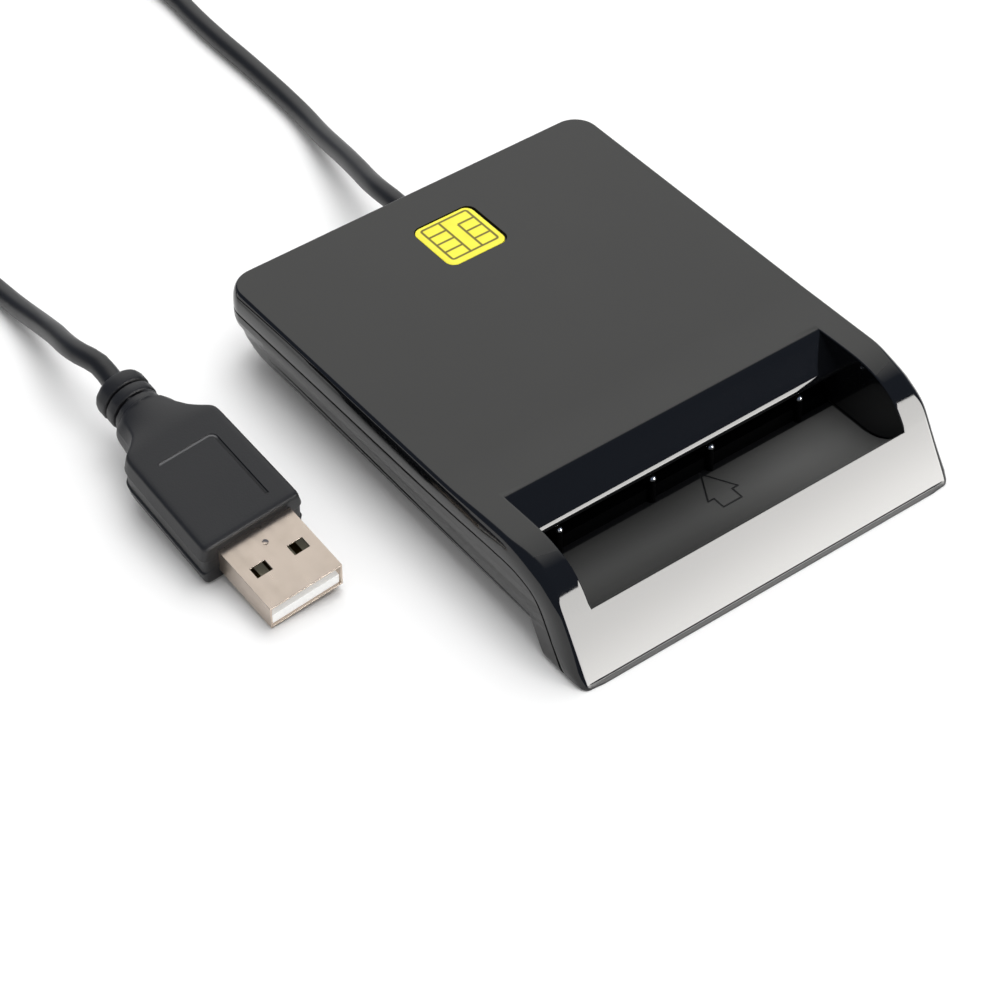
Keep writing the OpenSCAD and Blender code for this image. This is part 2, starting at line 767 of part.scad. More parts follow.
module wire_socket() color([0.92, 0.9, 0.85]) at_recess() {
    translate([-socket_w / 2, socket_y, board_top]) difference() {
        cube([socket_w, socket_l, socket_h]);
        translate([socket_wall, socket_wall, socket_wall])
            cube([socket_w - 2 * socket_wall, socket_l - 2 * socket_wall, socket_h]);
    }
}

// A tube along a route. Each ring is square to the route and starts from the direction ref.
function unit(v) = v / norm(v);
function route_dir(p, k) = unit(p[min(k + 1, len(p) - 1)] - p[max(k - 1, 0)]);
function ring(p, k, r, sides, ref) =
    let (t = route_dir(p, k), a = unit(cross(ref, t)), b = cross(t, a))
    [for (i = [0:sides - 1]) let (q = 360 * (i + 0.5) / sides) p[k] + r * (cos(q) * a + sin(q) * b)];

module tube(p, r, sides, ref) {
    rings = [for (k = [0:len(p) - 1]) each ring(p, k, r, sides, ref)];
    n = len(p);
    ends = [p[0], p[n - 1]];
    first = n * sides;
    faces = concat(
        [for (k = [0:n - 2], i = [0:sides - 1]) let (j = (i + 1) % sides) each [
            [k * sides + i, k * sides + j, (k + 1) * sides + j],
            [k * sides + i, (k + 1) * sides + j, (k + 1) * sides + i]]],
        [for (i = [0:sides - 1]) [first, (i + 1) % sides, i]],
        [for (i = [0:sides - 1]) [first + 1, (n - 1) * sides + i, (n - 1) * sides + (i + 1) % sides]]
    );
    polyhedron(concat(rings, ends), faces);
}

tail_l = 5;
tail_y = back_reach - tail_l;
wire_sides = 8;
wire_bundle = 1.1;
wire_colours = [[0.75, 0.1, 0.1], [0.9, 0.9, 0.9], [0.1, 0.5, 0.2], [0.08, 0.08, 0.08]];
wire_ends = [-1.5, -0.5, 0.5, 1.5];
wire_sides_x = [-0.5, -0.5, 0.5, 0.5];
wire_rows_z = [-0.5, 0.5, 0.5, -0.5];

// The four wires leave the cable's jacket two by two and drop side by side into the socket
module wire(index) color(wire_colours[index]) at_recess() {
    start = [wire_sides_x[index] * wire_bundle, tail_y, wire_rows_z[index] * wire_bundle - exit_drop];
    end = [wire_ends[index] * wire_step, socket_y + socket_l / 2, board_top + socket_wall + fit];
    bend = wire_d;
    over = -exit_drop - wire_bundle / 2;
    tube([start, start - [0, bend, 0], [(start.x + end.x) / 2, (start.y + end.y) / 2, start.z],
        [end.x, end.y + bend / 2, (over + start.z) / 2 - bend / 2], [end.x, end.y, over - 1.5 * bend], end],
        wire_d / 2, wire_sides, [1, 0, 0]);
}

module cable_grommet() color(black) at_recess() {
    translate([0, back_reach, -exit_drop]) rotate([90, 0, 0]) difference() {
        union() {
            cylinder(h = wall + tongue_t + grommet_flange_t + 3 * fit, d = grommet_d);
            // The flange is cut flat under the roof
            translate([0, 0, wall + tongue_t + 3 * fit]) intersection() {
                cylinder(h = grommet_flange_t, d = grommet_flange_d);
                translate([-grommet_flange_d / 2, -grommet_flange_d / 2, 0])
                    cube([grommet_flange_d, grommet_flange_d / 2 + exit_drop - roof_t - fit / 2, grommet_flange_t]);
            }
        }
        translate([0, 0, -cut]) cylinder(h = back_reach, d = cord_d + fit);
    }
}

module cable_tail() color(black) at_recess() {
    translate([0, back_reach, -exit_drop]) rotate([90, 0, 0]) cylinder(h = tail_l, d = cord_d);
}

// The free cord's two routes, in the part's own frame, from the case and from the plug
cord_z = 1.7;
case_exit = [0, recess_y + back_reach, top_z - exit_drop];
case_route = [
    [0.3, 50, 10.5], [1.1, 54, 9.4], [2.3, 58.5, 8.1], [3.5, 63.2, 6.7], [4.6, 68, 5.3],
    [5.6, 72.7, 4], [6.6, 77, 2.9], [7.5, 81.5, 2.2], [8.1, 87, 1.8], [8.4, 94, cord_z], [8.5, 101, cord_z],
    [8.5, 108, cord_z], [8.7, 115, cord_z], [9.2, 122, cord_z], [9.2, 129, cord_z], [7.6, 136, cord_z],
    [4, 142.5, cord_z], [-1.5, 148, cord_z], [-8.5, 152, cord_z], [-16.5, 154.7, cord_z], [-25, 155.8, 1.9],
    [-33.5, 156, 2.8], [-41.5, 156, 4.2]
];
plug_route = [
    [-55.3, 46.5, 10.3], [-55.1, 50.5, 9.1], [-54.4, 54.5, 7.6], [-53.8, 59, 5.8], [-53.4, 63.5, 4.2],
    [-53.2, 68, 2.9], [-53.1, 72.5, 2], [-53.3, 77, cord_z], [-54, 82, cord_z], [-55.5, 87, cord_z],
    [-58, 92, cord_z], [-61.5, 97, cord_z], [-65.5, 102, cord_z], [-70, 107, cord_z], [-74.5, 112, cord_z],
    [-78.9, 117.2, cord_z], [-81.8, 122.4, cord_z]
];
cord_sides = 8;
coil_sides = 6;
coil_rings = 24;
coil_corner = [-83, 156];
coil_centre = coil_corner + [coil_r, -coil_r];

// The coil turns clockwise, spirals in on the table and out again on top of itself
function coil_at(s) =
    let (half = coil_turns / 2,
         r = coil_r - coil_pitch * (half - abs(s - half)),
         climb = max(0, min(1, (s - half + 0.25) * 2)),
         a = 180 - 360 * s)
    [coil_centre.x + r * cos(a), coil_centre.y + r * sin(a), cord_z + coil_pitch * (1 - cos(180 * climb)) / 2];
coil_steps = round(coil_turns * coil_rings);
coil_loop = [for (k = [0:coil_steps]) coil_at(k * coil_turns / coil_steps)];
coil_in_dir = unit([0, 1, 0]);
coil_out_dir = unit([1, 0, 0]);
coil_start = coil_loop[0] - cord_d * coil_in_dir;
coil_end = coil_loop[coil_steps] + cord_d * coil_out_dir;
coil_path = concat([coil_start], coil_loop, [coil_end]);

function gap_at(k) = min([for (j = [0:coil_steps]) if (abs(j - k) > coil_rings / 2) norm(coil_loop[j] - coil_loop[k])]);
echo("least gap in the coil", min([for (k = [0:coil_steps]) gap_at(k)]) - cord_d);

module cord_to_coil() color(black) {
    tube(concat([case_exit, case_exit + [0, cord_d, 0]], case_route, [coil_end + cord_d * coil_out_dir, coil_end]), cord_d / 2, cord_sides, [0, 0, 1]);
}

module cord_coil() color(black) {
    tube(coil_path, cord_d / 2, coil_sides, [0, 0, 1]);
}

module cord_to_plug() color(black) {
    tube(concat([boot_end, boot_out], plug_route, [coil_start - cord_d * coil_in_dir / 2, coil_start]),
        cord_d / 2, cord_sides, [0, 0, 1]);
}

// The plug in its own frame: its tip at y 0, its lead leaves along +Y
plug_tip = [-53, -7.65, 2.9];
plug_turn = [8.9, -4.7, 1.7];
plug_roll_matrix = [
    [cos(plug_turn.y), 0, sin(plug_turn.y)], [0, 1, 0], [-sin(plug_turn.y), 0, cos(plug_turn.y)]
];
plug_pitch_matrix = [
    [1, 0, 0], [0, cos(plug_turn.x), -sin(plug_turn.x)], [0, sin(plug_turn.x), cos(plug_turn.x)]
];
plug_yaw_matrix = [
    [cos(plug_turn.z), -sin(plug_turn.z), 0], [sin(plug_turn.z), cos(plug_turn.z), 0], [0, 0, 1]
];
function plug_to_part(v) = plug_tip + plug_yaw_matrix * (plug_pitch_matrix * (plug_roll_matrix * v));

module at_plug() {
    translate(plug_tip) rotate([0, 0, plug_turn.z]) rotate([plug_turn.x, 0, 0]) rotate([0, plug_turn.y, 0])
        children();
}

plug_skin = 0.3;
plug_buried = 6.5;
grip_front = plug_reach;
shoulder_l = 8.2;
neck_w = 8.6;
neck_d = 7.4;
neck_l = 2.4;
relief_d = 8;
relief_groove_d = 6.2;
relief_ring_l = 2.5;
relief_groove_l = 0.6;
relief_start = grip_front + grip_l + shoulder_l;
boot_l = relief_start + neck_l + 2 * (relief_ring_l + relief_groove_l);
boot_end = plug_to_part([0, boot_l, 0]);
boot_out = plug_to_part([0, boot_l + cord_d, 0]);
grip_edge = 1.3;
window_w = 2.5;
window_l = 1.9;
window_x = 3.1;
window_y = 6.1;
dimple_d = 1;
dimple_y = 9.3;
frame_w = 9.2;
frame_l = 13;
frame_line = 0.35;
frame_deep = 0.25;
frame_back = 15.6;

// The grip seen from above: straight sides, then S-shaped shoulders down to the neck
function shoulder(t) = neck_w / 2 + (grip_w - neck_w) / 2 * (1 + cos(180 * t)) / 2;
shoulder_steps = 8;
module grip_plan() {
    side = [for (k = [0:shoulder_steps]) let (t = k / shoulder_steps)
        [shoulder(t), grip_front + grip_l + shoulder_l * t]];
    polygon(concat([[-grip_w / 2, grip_front], [grip_w / 2, grip_front]], side,
        [for (q = flipped(side)) [-q.x, q.y]]));
}

module plug_grip() color(black) at_plug() {
    difference() {
        union() {
            intersection() {
                translate([0, 0, -grip_h / 2]) linear_extrude(grip_h) grip_plan();
                translate([0, relief_start, 0]) rotate([90, 0, 0]) linear_extrude(grip_l + shoulder_l) {
                    square([grip_w, grip_h - 2 * grip_edge], center = true);
                    square([grip_w - 2 * grip_edge, grip_h], center = true);
                    for (sx = [-1, 1], sz = [-1, 1])
                        translate([sx * (grip_w / 2 - grip_edge), sz * (grip_h / 2 - grip_edge)]) circle(grip_edge);
                }
            }
            translate([0, boot_l, 0]) rotate([90, 0, 0]) cylinder(h = boot_l - relief_start + cut, d = relief_groove_d);
            translate([0, relief_start + neck_l, 0]) rotate([90, 0, 0]) cylinder(h = neck_l + cut, d = neck_d);
            for (k = [1, 2])
                translate([0, relief_start + neck_l + k * (relief_ring_l + relief_groove_l), 0])
                    rotate([90, 0, 0]) cylinder(h = relief_ring_l, d = relief_d);
        }
        translate([-plug_w / 2 - fit, 0, -plug_h / 2 - fit])
            cube([plug_w + 2 * fit, grip_front + plug_buried + fit, plug_h + 2 * fit]);
        translate([-frame_w / 2, frame_back + frame_l - frame_line, grip_h / 2 - frame_deep])
            cube([frame_w, frame_line, frame_deep + cut]);
        translate([frame_w / 2 - frame_line, frame_back, grip_h / 2 - frame_deep])
            cube([frame_line, frame_l, frame_deep + cut]);
    }
}

module plug_shell() color([0.78, 0.72, 0.64]) at_plug() {
    difference() {
        translate([-plug_w / 2, 0, -plug_h / 2]) cube([plug_w, plug_reach + plug_buried, plug_h]);
        translate([-plug_w / 2 + plug_skin, -cut, -plug_h / 2 + plug_skin])
            cube([plug_w - 2 * plug_skin, plug_reach + plug_buried + 2 * cut, plug_h - 2 * plug_skin]);
        for (s = [-1, 1], z = [-1, 1])
            translate([s * window_x - window_w / 2, window_y - window_l / 2, z * (plug_h - plug_skin) / 2 - plug_skin])
                cube([window_w, window_l, 2 * plug_skin]);
        translate([0, dimple_y, plug_h / 2 - plug_skin - cut]) cylinder(h = plug_skin + 2 * cut, d = dimple_d);
    }
}

insulator_t = 1.84;
insulator_set = 0.3;
strip_w = 1;
strip_t = 0.15;
strip_xs = [-3.5, -1, 1, 3.5];
strip_set = 1.6;

module plug_insulator() color([0.95, 0.95, 0.96]) at_plug() {
    w = plug_w - 2 * plug_skin - 2 * fit;
    low = -plug_h / 2 + plug_skin + fit;
    back_l = 4;
    difference() {
        union() {
            translate([-w / 2, insulator_set, low]) cube([w, plug_reach + plug_buried - insulator_set, insulator_t]);
            translate([-w / 2, plug_reach + plug_buried - back_l, low])
                cube([w, back_l, plug_h - 2 * plug_skin - 2 * fit]);
        }
        for (x = strip_xs) translate([x - strip_w / 2 - fit / 2, strip_set - fit / 2, low + insulator_t - strip_t])
            cube([strip_w + fit, plug_reach - strip_set + fit, strip_t + fit]);
    }
}

module plug_contacts() color(gold) at_plug() {
    for (x = strip_xs)
        translate([x - strip_w / 2, strip_set, -plug_h / 2 + plug_skin + fit + insulator_t - strip_t])
            cube([strip_w, plug_reach - strip_set, strip_t + fit / 2]);
}

// The badge: a raised rim line and chip-like cells, drawn as shallow grooves
cell_line = 0.24;
cell_deep = 0.1;
cell_w = 8;
cell_l = 7.9;
cell_rows = 4;
left_column = 3.1;
right_column = 2.8;

module groove(x, y, w, l) {
    translate([x - cell_line / 2, y - cell_line / 2, -cell_deep])
        cube([w + cell_line, l + cell_line, cell_deep + cut]);
}

module chip_badge() color([0.95, 0.9, 0.25]) at_recess() {
    x0 = -cell_w / 2;
    y0 = badge_y - cell_l / 2;
    row = cell_l / cell_rows;
    difference() {
        translate([0, 0, -badge_t]) linear_extrude(badge_t) badge_outline(0);
        groove(x0, y0, cell_w, 0);
        groove(x0, y0 + cell_l, cell_w, 0);
        groove(x0, y0, 0, cell_l);
        groove(x0 + cell_w, y0, 0, cell_l);
        groove(x0 + left_column, y0, 0, cell_l);
        groove(x0 + cell_w - right_column, y0, 0, 3 * row);
        for (k = [1:cell_rows - 1]) {
            groove(x0, y0 + k * row, left_column, 0);
            groove(x0 + cell_w - right_column, y0 + k * row, right_column, 0);
        }
    }
}

top_cover();
bottom_shell();
chip_badge();
foot(-foot_x, foot_ys[0]);  // foot_front_left
foot(foot_x, foot_ys[0]);  // foot_front_right
foot(-foot_x, foot_ys[1]);  // foot_rear_left
foot(foot_x, foot_ys[1]);  // foot_rear_right
case_screws();
circuit_board();
board_screws();
card_connector();
contact(0);  // contact_c1
contact(1);  // contact_c2
contact(2);  // contact_c3
contact(3);  // contact_c4
contact(4);  // contact_c5
contact(5);  // contact_c6
contact(6);  // contact_c7
contact(7);  // contact_c8
switch_housing();
switch_plunger();
controller_chip();
chip_leads();
clock_crystal();
board_capacitors();
board_resistors();
wire_socket();
wire(0);  // wire_red
wire(1);  // wire_white
wire(2);  // wire_green
wire(3);  // wire_black
cable_grommet();
cable_tail();
cord_to_coil();
cord_coil();
cord_to_plug();
plug_grip();
plug_shell();
plug_insulator();
plug_contacts();
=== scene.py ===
import json

import bpy
import bmesh
import numpy as np
from mathutils import Matrix
from mathutils.geometry import delaunay_2d_cdt


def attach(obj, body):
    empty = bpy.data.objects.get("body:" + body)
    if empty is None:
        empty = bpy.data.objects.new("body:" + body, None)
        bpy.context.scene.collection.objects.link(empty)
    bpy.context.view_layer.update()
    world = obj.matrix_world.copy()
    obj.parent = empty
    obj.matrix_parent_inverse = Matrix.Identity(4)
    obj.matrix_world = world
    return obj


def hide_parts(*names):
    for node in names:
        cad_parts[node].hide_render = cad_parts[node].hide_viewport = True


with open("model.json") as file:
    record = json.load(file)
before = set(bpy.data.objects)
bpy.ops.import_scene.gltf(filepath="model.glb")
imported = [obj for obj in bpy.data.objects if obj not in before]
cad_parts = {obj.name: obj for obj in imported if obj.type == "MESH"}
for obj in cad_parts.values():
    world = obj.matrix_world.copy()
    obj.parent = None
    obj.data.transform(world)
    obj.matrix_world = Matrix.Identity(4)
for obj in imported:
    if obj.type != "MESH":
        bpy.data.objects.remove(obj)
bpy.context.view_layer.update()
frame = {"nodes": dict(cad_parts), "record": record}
nodes = frame["nodes"]
MM = 0.001


def new_piece(name, data):
    """An object in the scene that holds a mesh, a camera or a lamp."""
    obj = bpy.data.objects.new(name, data)
    bpy.context.scene.collection.objects.link(obj)
    return obj


def stand(obj, x, y, z, place):
    """Puts a camera or lamp at a place in metres, with its three axes along x, y and z."""
    pose = np.eye(4)
    pose[:3] = np.column_stack([x, y, z, place])
    obj.matrix_world = Matrix(pose.tolist())


# Camera. Its place and turn were fitted to the case's edges in the photograph.
lens = bpy.data.cameras.new("camera")
lens.sensor_width = 36.0
lens.lens = 108.988
lens.clip_start, lens.clip_end = 0.02, 20.0
lens.dof.use_dof = False
camera = new_piece("camera", lens)
right = np.array([0.7989173310821613, -0.6012601115588423, -0.014743688303984093])
down = np.array([-0.4285717384305437, -0.5519185866323311, -0.7153405753544195])
forward = np.array([0.4219684385296821, 0.577816711404247, -0.6986204154666562])
stand(camera, right, -down, -forward, np.array([-199.132, -252.417, 297.51]) * MM)
bpy.context.scene.camera = camera

# The case in millimetres, x across, y back and z up from the middle of the recess's back edge at the flat top
RECESS_Y, TOP_Z = -18.9025, 14.9
HOME = np.array([0.0, RECESS_Y, TOP_Z])
HALF_W, BACK_Y, CORNER_R = 33.1, 61.5, 4.5
# The recess's half width, the foot of its side walls, and how far in from the side the flat rim beside it begins
RECESS_X, RECESS_FOOT, RIM = 27.75, -10.9, 3.7
# The crest across the top: its height, where it is reached, the length of its rise, and where its rows begin and end
CREST_H, CREST_AHEAD, CREST_RUN, CREST_BACK, CREST_END = 0.47, 7.0, 16.0, 9.0, 0.5
# The nose in the side view: arcs as centre, radius, first and last angle, then a straight face from y, z down. The
# card's recess cuts it off at RIDGE_Y, and it ends at the lip's ledge.
NOSE_TILT = 60.5
ARCS = [((-7.0, -17.53), 18.0, 0.0, 20.0), ((-10.249, -8.602), 8.5, 20.0, 48.0),
        ((-6.162, -12.282), 14.0, 48.0, NOSE_TILT)]
NOSE_TAN = np.tan(np.radians(NOSE_TILT))
FACE_Y, FACE_Z, RIDGE_Y = -18.347, -5.388, -18.63
LIP_Z, FOOT_Z = -14.05, -14.88
# The ellipse that draws the sides in at the foot, and the parting line's depth under the skin
FOOT_IN, FOOT_HIGH, PARTING = 0.9, 1.5, 3.5
# The round between top and side, in and down, and the angles of its columns
EDGE_IN, EDGE_DOWN = 0.9, 2.8
EDGE_DEGREES = np.array([0.0, 25.0, 45.0, 60.0, 70.0, 77.0, 82.0, 86.0, 90.0])
EDGE_TURN = np.radians(EDGE_DEGREES)
# The wall's columns from the parting line up, as shares of its height under the round and as insets, and the shares
# of the flat edge between the round and the rim
WALL_SHARE = np.array([1.0, 0.95, 0.85, 0.6, 0.25])
WALL_IN = np.array([0.2, 0.06, 0.0, 0.0, 0.0])
EDGE_SHARE = np.array([0.1, 0.13, 1.0])
# Columns over the brow, over one rim, and across both rims and all between them
BROW_X = np.linspace(-RECESS_X, RECESS_X, 13)
RIM_X = np.linspace(HALF_W - RIM, RECESS_X, 5)
ACROSS = np.concatenate([RIM_X[:-1], BROW_X[::-1], -RIM_X[::-1][1:]])
# The middles of the badge's pocket and of the badge, and the pocket's depth
POCKET, BADGE, POCKET_DEEP = np.array([0.47, 48.25]), np.array([0.3, 48.22]), 0.5
# The ramp: its arc's radius, its flat part's height, where the arc and the flat part begin, its half width and its tip
RAMP_R, RAMP_LOW, RAMP_FOLD, RAMP_BACK = 9.325, -11.07, -10.2, -3.32
RAMP_X, RAMP_TIP = 27.5, -18.42
# Where the nose's polish begins, and the walls' share of polish
GLOSS_Y, WALL_POLISH = -12.0, 0.85


def smooth(t):
    """The S curve 3t^2 - 2t^3 of t, held between 0 and 1."""
    t = np.clip(t, 0.0, 1.0)
    return t * t * (3.0 - 2.0 * t)


def glossy(y):
    """The nose's share of polish: an S curve over half a millimetre of y."""
    return smooth((GLOSS_Y - y) / 0.5)


# The round's columns are polished low down, and dull where they turn into the top
ROUND_POLISH = smooth((87.0 - EDGE_DEGREES) / 8.0)


def unit(angle):
    """The direction at an angle in radians: its cosine and its sine."""
    return np.stack([np.cos(angle), np.sin(angle)], -1)


def arc(hub, radius, start, end, count):
    """Points on a circle, evenly between two angles in degrees."""
    return np.asarray(hub) + radius * unit(np.radians(np.linspace(start, end, count)))


def xyz(x, y, z):
    """Points from their coordinates, each repeated along the rows or columns that it lacks."""
    return np.stack(np.broadcast_arrays(x, y, z), -1)


def swept(x, yz):
    """Points y, z of the side view at the places x across."""
    return xyz(x, yz[..., 0], yz[..., 1])


class Skin:
    """A surface gathered from grids and flat fills, whose shared points are merged at the end."""

    def __init__(self):
        self.points, self.quads, self.marks, self.count = [], [], [], 0

    def add(self, points, faces, mark):
        """Takes in points, quads between them, and how polished each point is."""
        self.points.append(points.reshape(-1, 3))
        self.marks.append(np.broadcast_to(np.asarray(mark, float), points.shape[:-1]).reshape(-1))
        self.quads.append(faces + self.count)
        self.count += self.points[-1].shape[0]

    def grid(self, points, facing, mark=0.0):
        """Quads between neighbours of a rows x columns array of points. facing is a direction that the middle quad
        should look towards, and turns the whole grid over if it looks the other way."""
        rows, cols = points.shape[:2]
        index = np.arange(rows * cols).reshape(rows, cols)
        faces = np.stack([index[:-1, :-1], index[1:, :-1], index[1:, 1:], index[:-1, 1:]], -1)
        a, b, c, d = points.reshape(-1, 3)[faces[(rows - 1) // 2, (cols - 1) // 2]]
        faces = faces.reshape(-1, 4)
        if np.cross(c - a, d - b) @ np.asarray(facing, float) < 0:
            faces = faces[:, ::-1]
        self.add(points, faces, mark)

    def flat(self, loops, z, up=True, mark=0.0):
        """Triangles that fill the plane at height z between the first closed loop of x, y points and the others,
        which are holes. A triangle stays if a line from its middle crosses the loops an odd number of times."""
        plan = np.concatenate(loops)
        starts = np.cumsum([0] + [len(loop) for loop in loops])
        edges = [(int(i), int(i + 1 if i + 1 < e else s)) for s, e in zip(starts[:-1], starts[1:]) for i in range(s, e)]
        verts, _, faces, *_ = delaunay_2d_cdt([tuple(p) for p in plan], edges, [], 0, 1e-6)
        verts = np.array([tuple(v) for v in verts])
        faces = np.array([list(f) for f in faces])
        middle_x, middle_y = verts[faces].mean(1)[:, None].transpose(2, 0, 1)
        (ax, ay), (bx, by) = (plan[list(ends)].T for ends in zip(*edges))
        rise = np.where(np.abs(by - ay) < 1e-12, 1e-12, by - ay)
        cross_x = ax + (middle_y - ay) * (bx - ax) / rise
        crossed = ((ay > middle_y) != (by > middle_y)) & (cross_x > middle_x)
        faces = faces[crossed.sum(1) % 2 == 1]
        p, q, r = (verts[faces[:, k]] for k in range(3))
        turn = (q[:, 0] - p[:, 0]) * (r[:, 1] - p[:, 1]) - (q[:, 1] - p[:, 1]) * (r[:, 0] - p[:, 0])
        faces = np.where((turn > 0)[:, None] == up, faces, faces[:, ::-1])
        self.add(xyz(verts[:, 0], verts[:, 1], float(z)), np.column_stack([faces, faces[:, 2]]), mark)

    def mesh(self, name, home=HOME, turn=np.eye(3)):
        """The merged mesh, turned and moved home into the shared frame, in metres. A quad with two corners in one
        place becomes a triangle."""
        _, first, back = np.unique(np.round(np.concatenate(self.points), 4), axis=0, return_index=True,
                                   return_inverse=True)
        points, marks = np.concatenate(self.points)[first], np.concatenate(self.marks)[first]
        quads = back.reshape(-1)[np.concatenate(self.quads)]
        same = quads == np.roll(quads, -1, axis=1)
        once = same.sum(1) == 1
        three = quads[once][~same[once]].reshape(-1, 3)
        four = quads[~same.any(1)]
        four = four[(four[:, 0] != four[:, 2]) & (four[:, 1] != four[:, 3])]
        mesh = bpy.data.meshes.new(name)
        mesh.from_pydata(((points @ turn.T + home) * MM).tolist(), [], four.tolist() + three.tolist())
        mesh.attributes.new("polish", "FLOAT", "POINT").data.foreach_set("value", marks.astype(np.float32))
        mesh.update()
        return mesh


def read_points(mesh):
    """The mesh's points in the case's own millimetres."""
    co = np.empty(len(mesh.vertices) * 3, np.float32)
    mesh.vertices.foreach_get("co", co)
    return co.reshape(-1, 3).astype(float) / MM - HOME


def shade(mesh, angle):
    """Shades the mesh smooth and keeps the edges sharp that turn by more than the angle in degrees."""
    mesh.shade_smooth()
    mesh.set_sharp_from_angle(angle=np.radians(angle))


def settle(obj, angle):
    """Fixes the piece's modifiers into its mesh and shades it."""
    bpy.context.view_layer.update()
    done = bpy.data.meshes.new_from_object(obj.evaluated_get(bpy.context.evaluated_depsgraph_get()))
    obj.modifiers.clear()
    obj.data = done
    shade(done, angle)


def crest_z(y):
    """Half a cosine wave from 0 behind up to the crest's height in front."""
    t = np.clip((CREST_RUN - CREST_AHEAD - y) / CREST_RUN, 0.0, 1.0)
    return CREST_H * (1.0 - np.cos(np.pi * t)) / 2.0


def face_y(z, inset=0.0):
    """Where the nose's straight face, set in by inset, is at height z."""
    hub, radius = ARCS[2][:2]
    y, top = np.array(hub) + (radius - inset) * unit(np.radians(NOSE_TILT + 90.0))
    return y - (top - z) / NOSE_TAN


def profile():
    """The skin's line in the side view from behind to the ledge over the lip, as rows of y, z: the flat top and the
    crest, the nose's arcs, and its straight face. With it go the outward normals and the cut ridge's height."""
    y_top = np.concatenate([np.linspace(BACK_Y - CORNER_R, CREST_BACK, 8), np.linspace(CREST_BACK, CREST_END, 13)[1:],
                            np.linspace(CREST_END, ARCS[0][0][0], 13)[1:-1]])
    slope = (crest_z(y_top + 1e-3) - crest_z(y_top - 1e-3)) / 2e-3
    rows = [np.column_stack([y_top, crest_z(y_top)])]
    out = [np.column_stack([-slope, np.ones_like(slope)]) / np.hypot(slope, 1.0)[:, None]]
    for (hub, radius, start, end), count in zip(ARCS, (10, 18, 8)):
        rows.append(arc(hub, radius, start + 90.0, end + 90.0, count + 1)[:-1])
        out.append((rows[-1] - hub) / radius)
    ridge = FACE_Z - (FACE_Y - RIDGE_Y) * NOSE_TAN
    z = np.concatenate([[FACE_Z, ridge, ridge - 0.22], np.linspace(ridge - 0.22, LIP_Z + 0.08, 9)[1:],
                        [LIP_Z + 0.03, LIP_Z]])
    rows.append(np.column_stack([face_y(z), z]))
    out.append(np.tile(unit(np.radians(NOSE_TILT + 90.0)), (len(z), 1)))
    return np.concatenate(rows), np.concatenate(out), ridge


line, normal, ridge_z = profile()
row_ledge = len(line) - 1
row_ridge = row_ledge - 11


def edge_round(y):
    """How far the round between the skin and the side reaches in and down: little behind, further in over the
    shoulder, and less far down near the foot. Both are sums of S curves of y."""
    shoulder = smooth((-6.0 - y) / 6.0) * (1.0 - smooth((-14.5 - y) / 3.5))
    forward = smooth((7.0 - y) / 12.0)
    return (EDGE_IN + 0.3 * forward + 0.75 * shoulder,
            EDGE_DOWN + 0.4 * forward - 0.6 * smooth((-15.0 - y) / 3.0) - 1.2 * smooth((-20.0 - y) / 3.3))


# The round's inner reach, its lower end and the parting line, for each row. Along the straight face the parting
# line keeps to that face set in, by shares of the way down to the foot.
edge_in, edge_down = edge_round(line[:, 0])
edge_end = line - edge_down[:, None] * normal
share = np.clip((FACE_Z - line[:, 1:]) / (FACE_Z - FOOT_Z), 0.0, 1.0)
start_z = FACE_Z - PARTING * normal[-1, 1]
start = np.array([face_y(start_z, PARTING), start_z])
foot = np.array([face_y(FOOT_Z, PARTING), FOOT_Z])
parting = np.where(share > 0, start + (foot - start) * share, line - PARTING * normal)

# The lip's rows below the ledge, where it stands out in the middle, and the flush line that it fades into beside
lip_out = np.array([[-23.31, -14.06], [-23.40, -14.07], [-23.45, -14.09], [-23.48, -14.13], [-23.50, -14.18],
                    [-23.62, -14.44], [-23.75, -14.72], [-23.78, -14.79], [-23.79, -14.84], [-23.74, FOOT_Z]])
lip_z = np.array([-14.10, -14.15, -14.20, -14.25, -14.30, -14.48, -14.66, -14.76, -14.83, FOOT_Z])
lip_y = face_y(lip_z) + [0, 0, 0, 0, 0, 0, 0.02, 0.05, 0.09, 0.14]
lip_rows = len(lip_z)
lip_parting = start + (foot - start) * np.linspace(share[-1, 0], 1.0, lip_rows + 1)[1:, None]
lip_foot = np.array([face_y(FOOT_Z) + 1.0, FOOT_Z])
lip_edge_end = edge_end[-1] + (lip_foot - edge_end[-1]) * np.linspace(0.0, 1.0, lip_rows + 1)[1:, None]
out_line = np.concatenate([line, lip_out])
line = np.concatenate([line, np.column_stack([lip_y, lip_z])])
edge_end = np.concatenate([edge_end, lip_edge_end])
parting = np.concatenate([parting, lip_parting])
normal = np.concatenate([normal, np.tile(normal[-1], (lip_rows, 1))])
edge_in = np.concatenate([edge_in, np.full(lip_rows, edge_in[-1])])


def foot_inset(z):
    """How far the sides draw in near the table: a quarter of an ellipse."""
    t = np.clip((FOOT_Z + FOOT_HIGH - z) / FOOT_HIGH, 0.0, 1.0)
    return FOOT_IN * (1.0 - np.sqrt(1.0 - t * t))


def lip_line(x):
    """All rows at x across: the lip stands out in the middle and turns flush towards the case's sides."""
    fade = 1.0 - smooth((np.abs(x) - (HALF_W - RIM)) / 2.3)
    return line + (out_line - line) * fade[:, None, None]


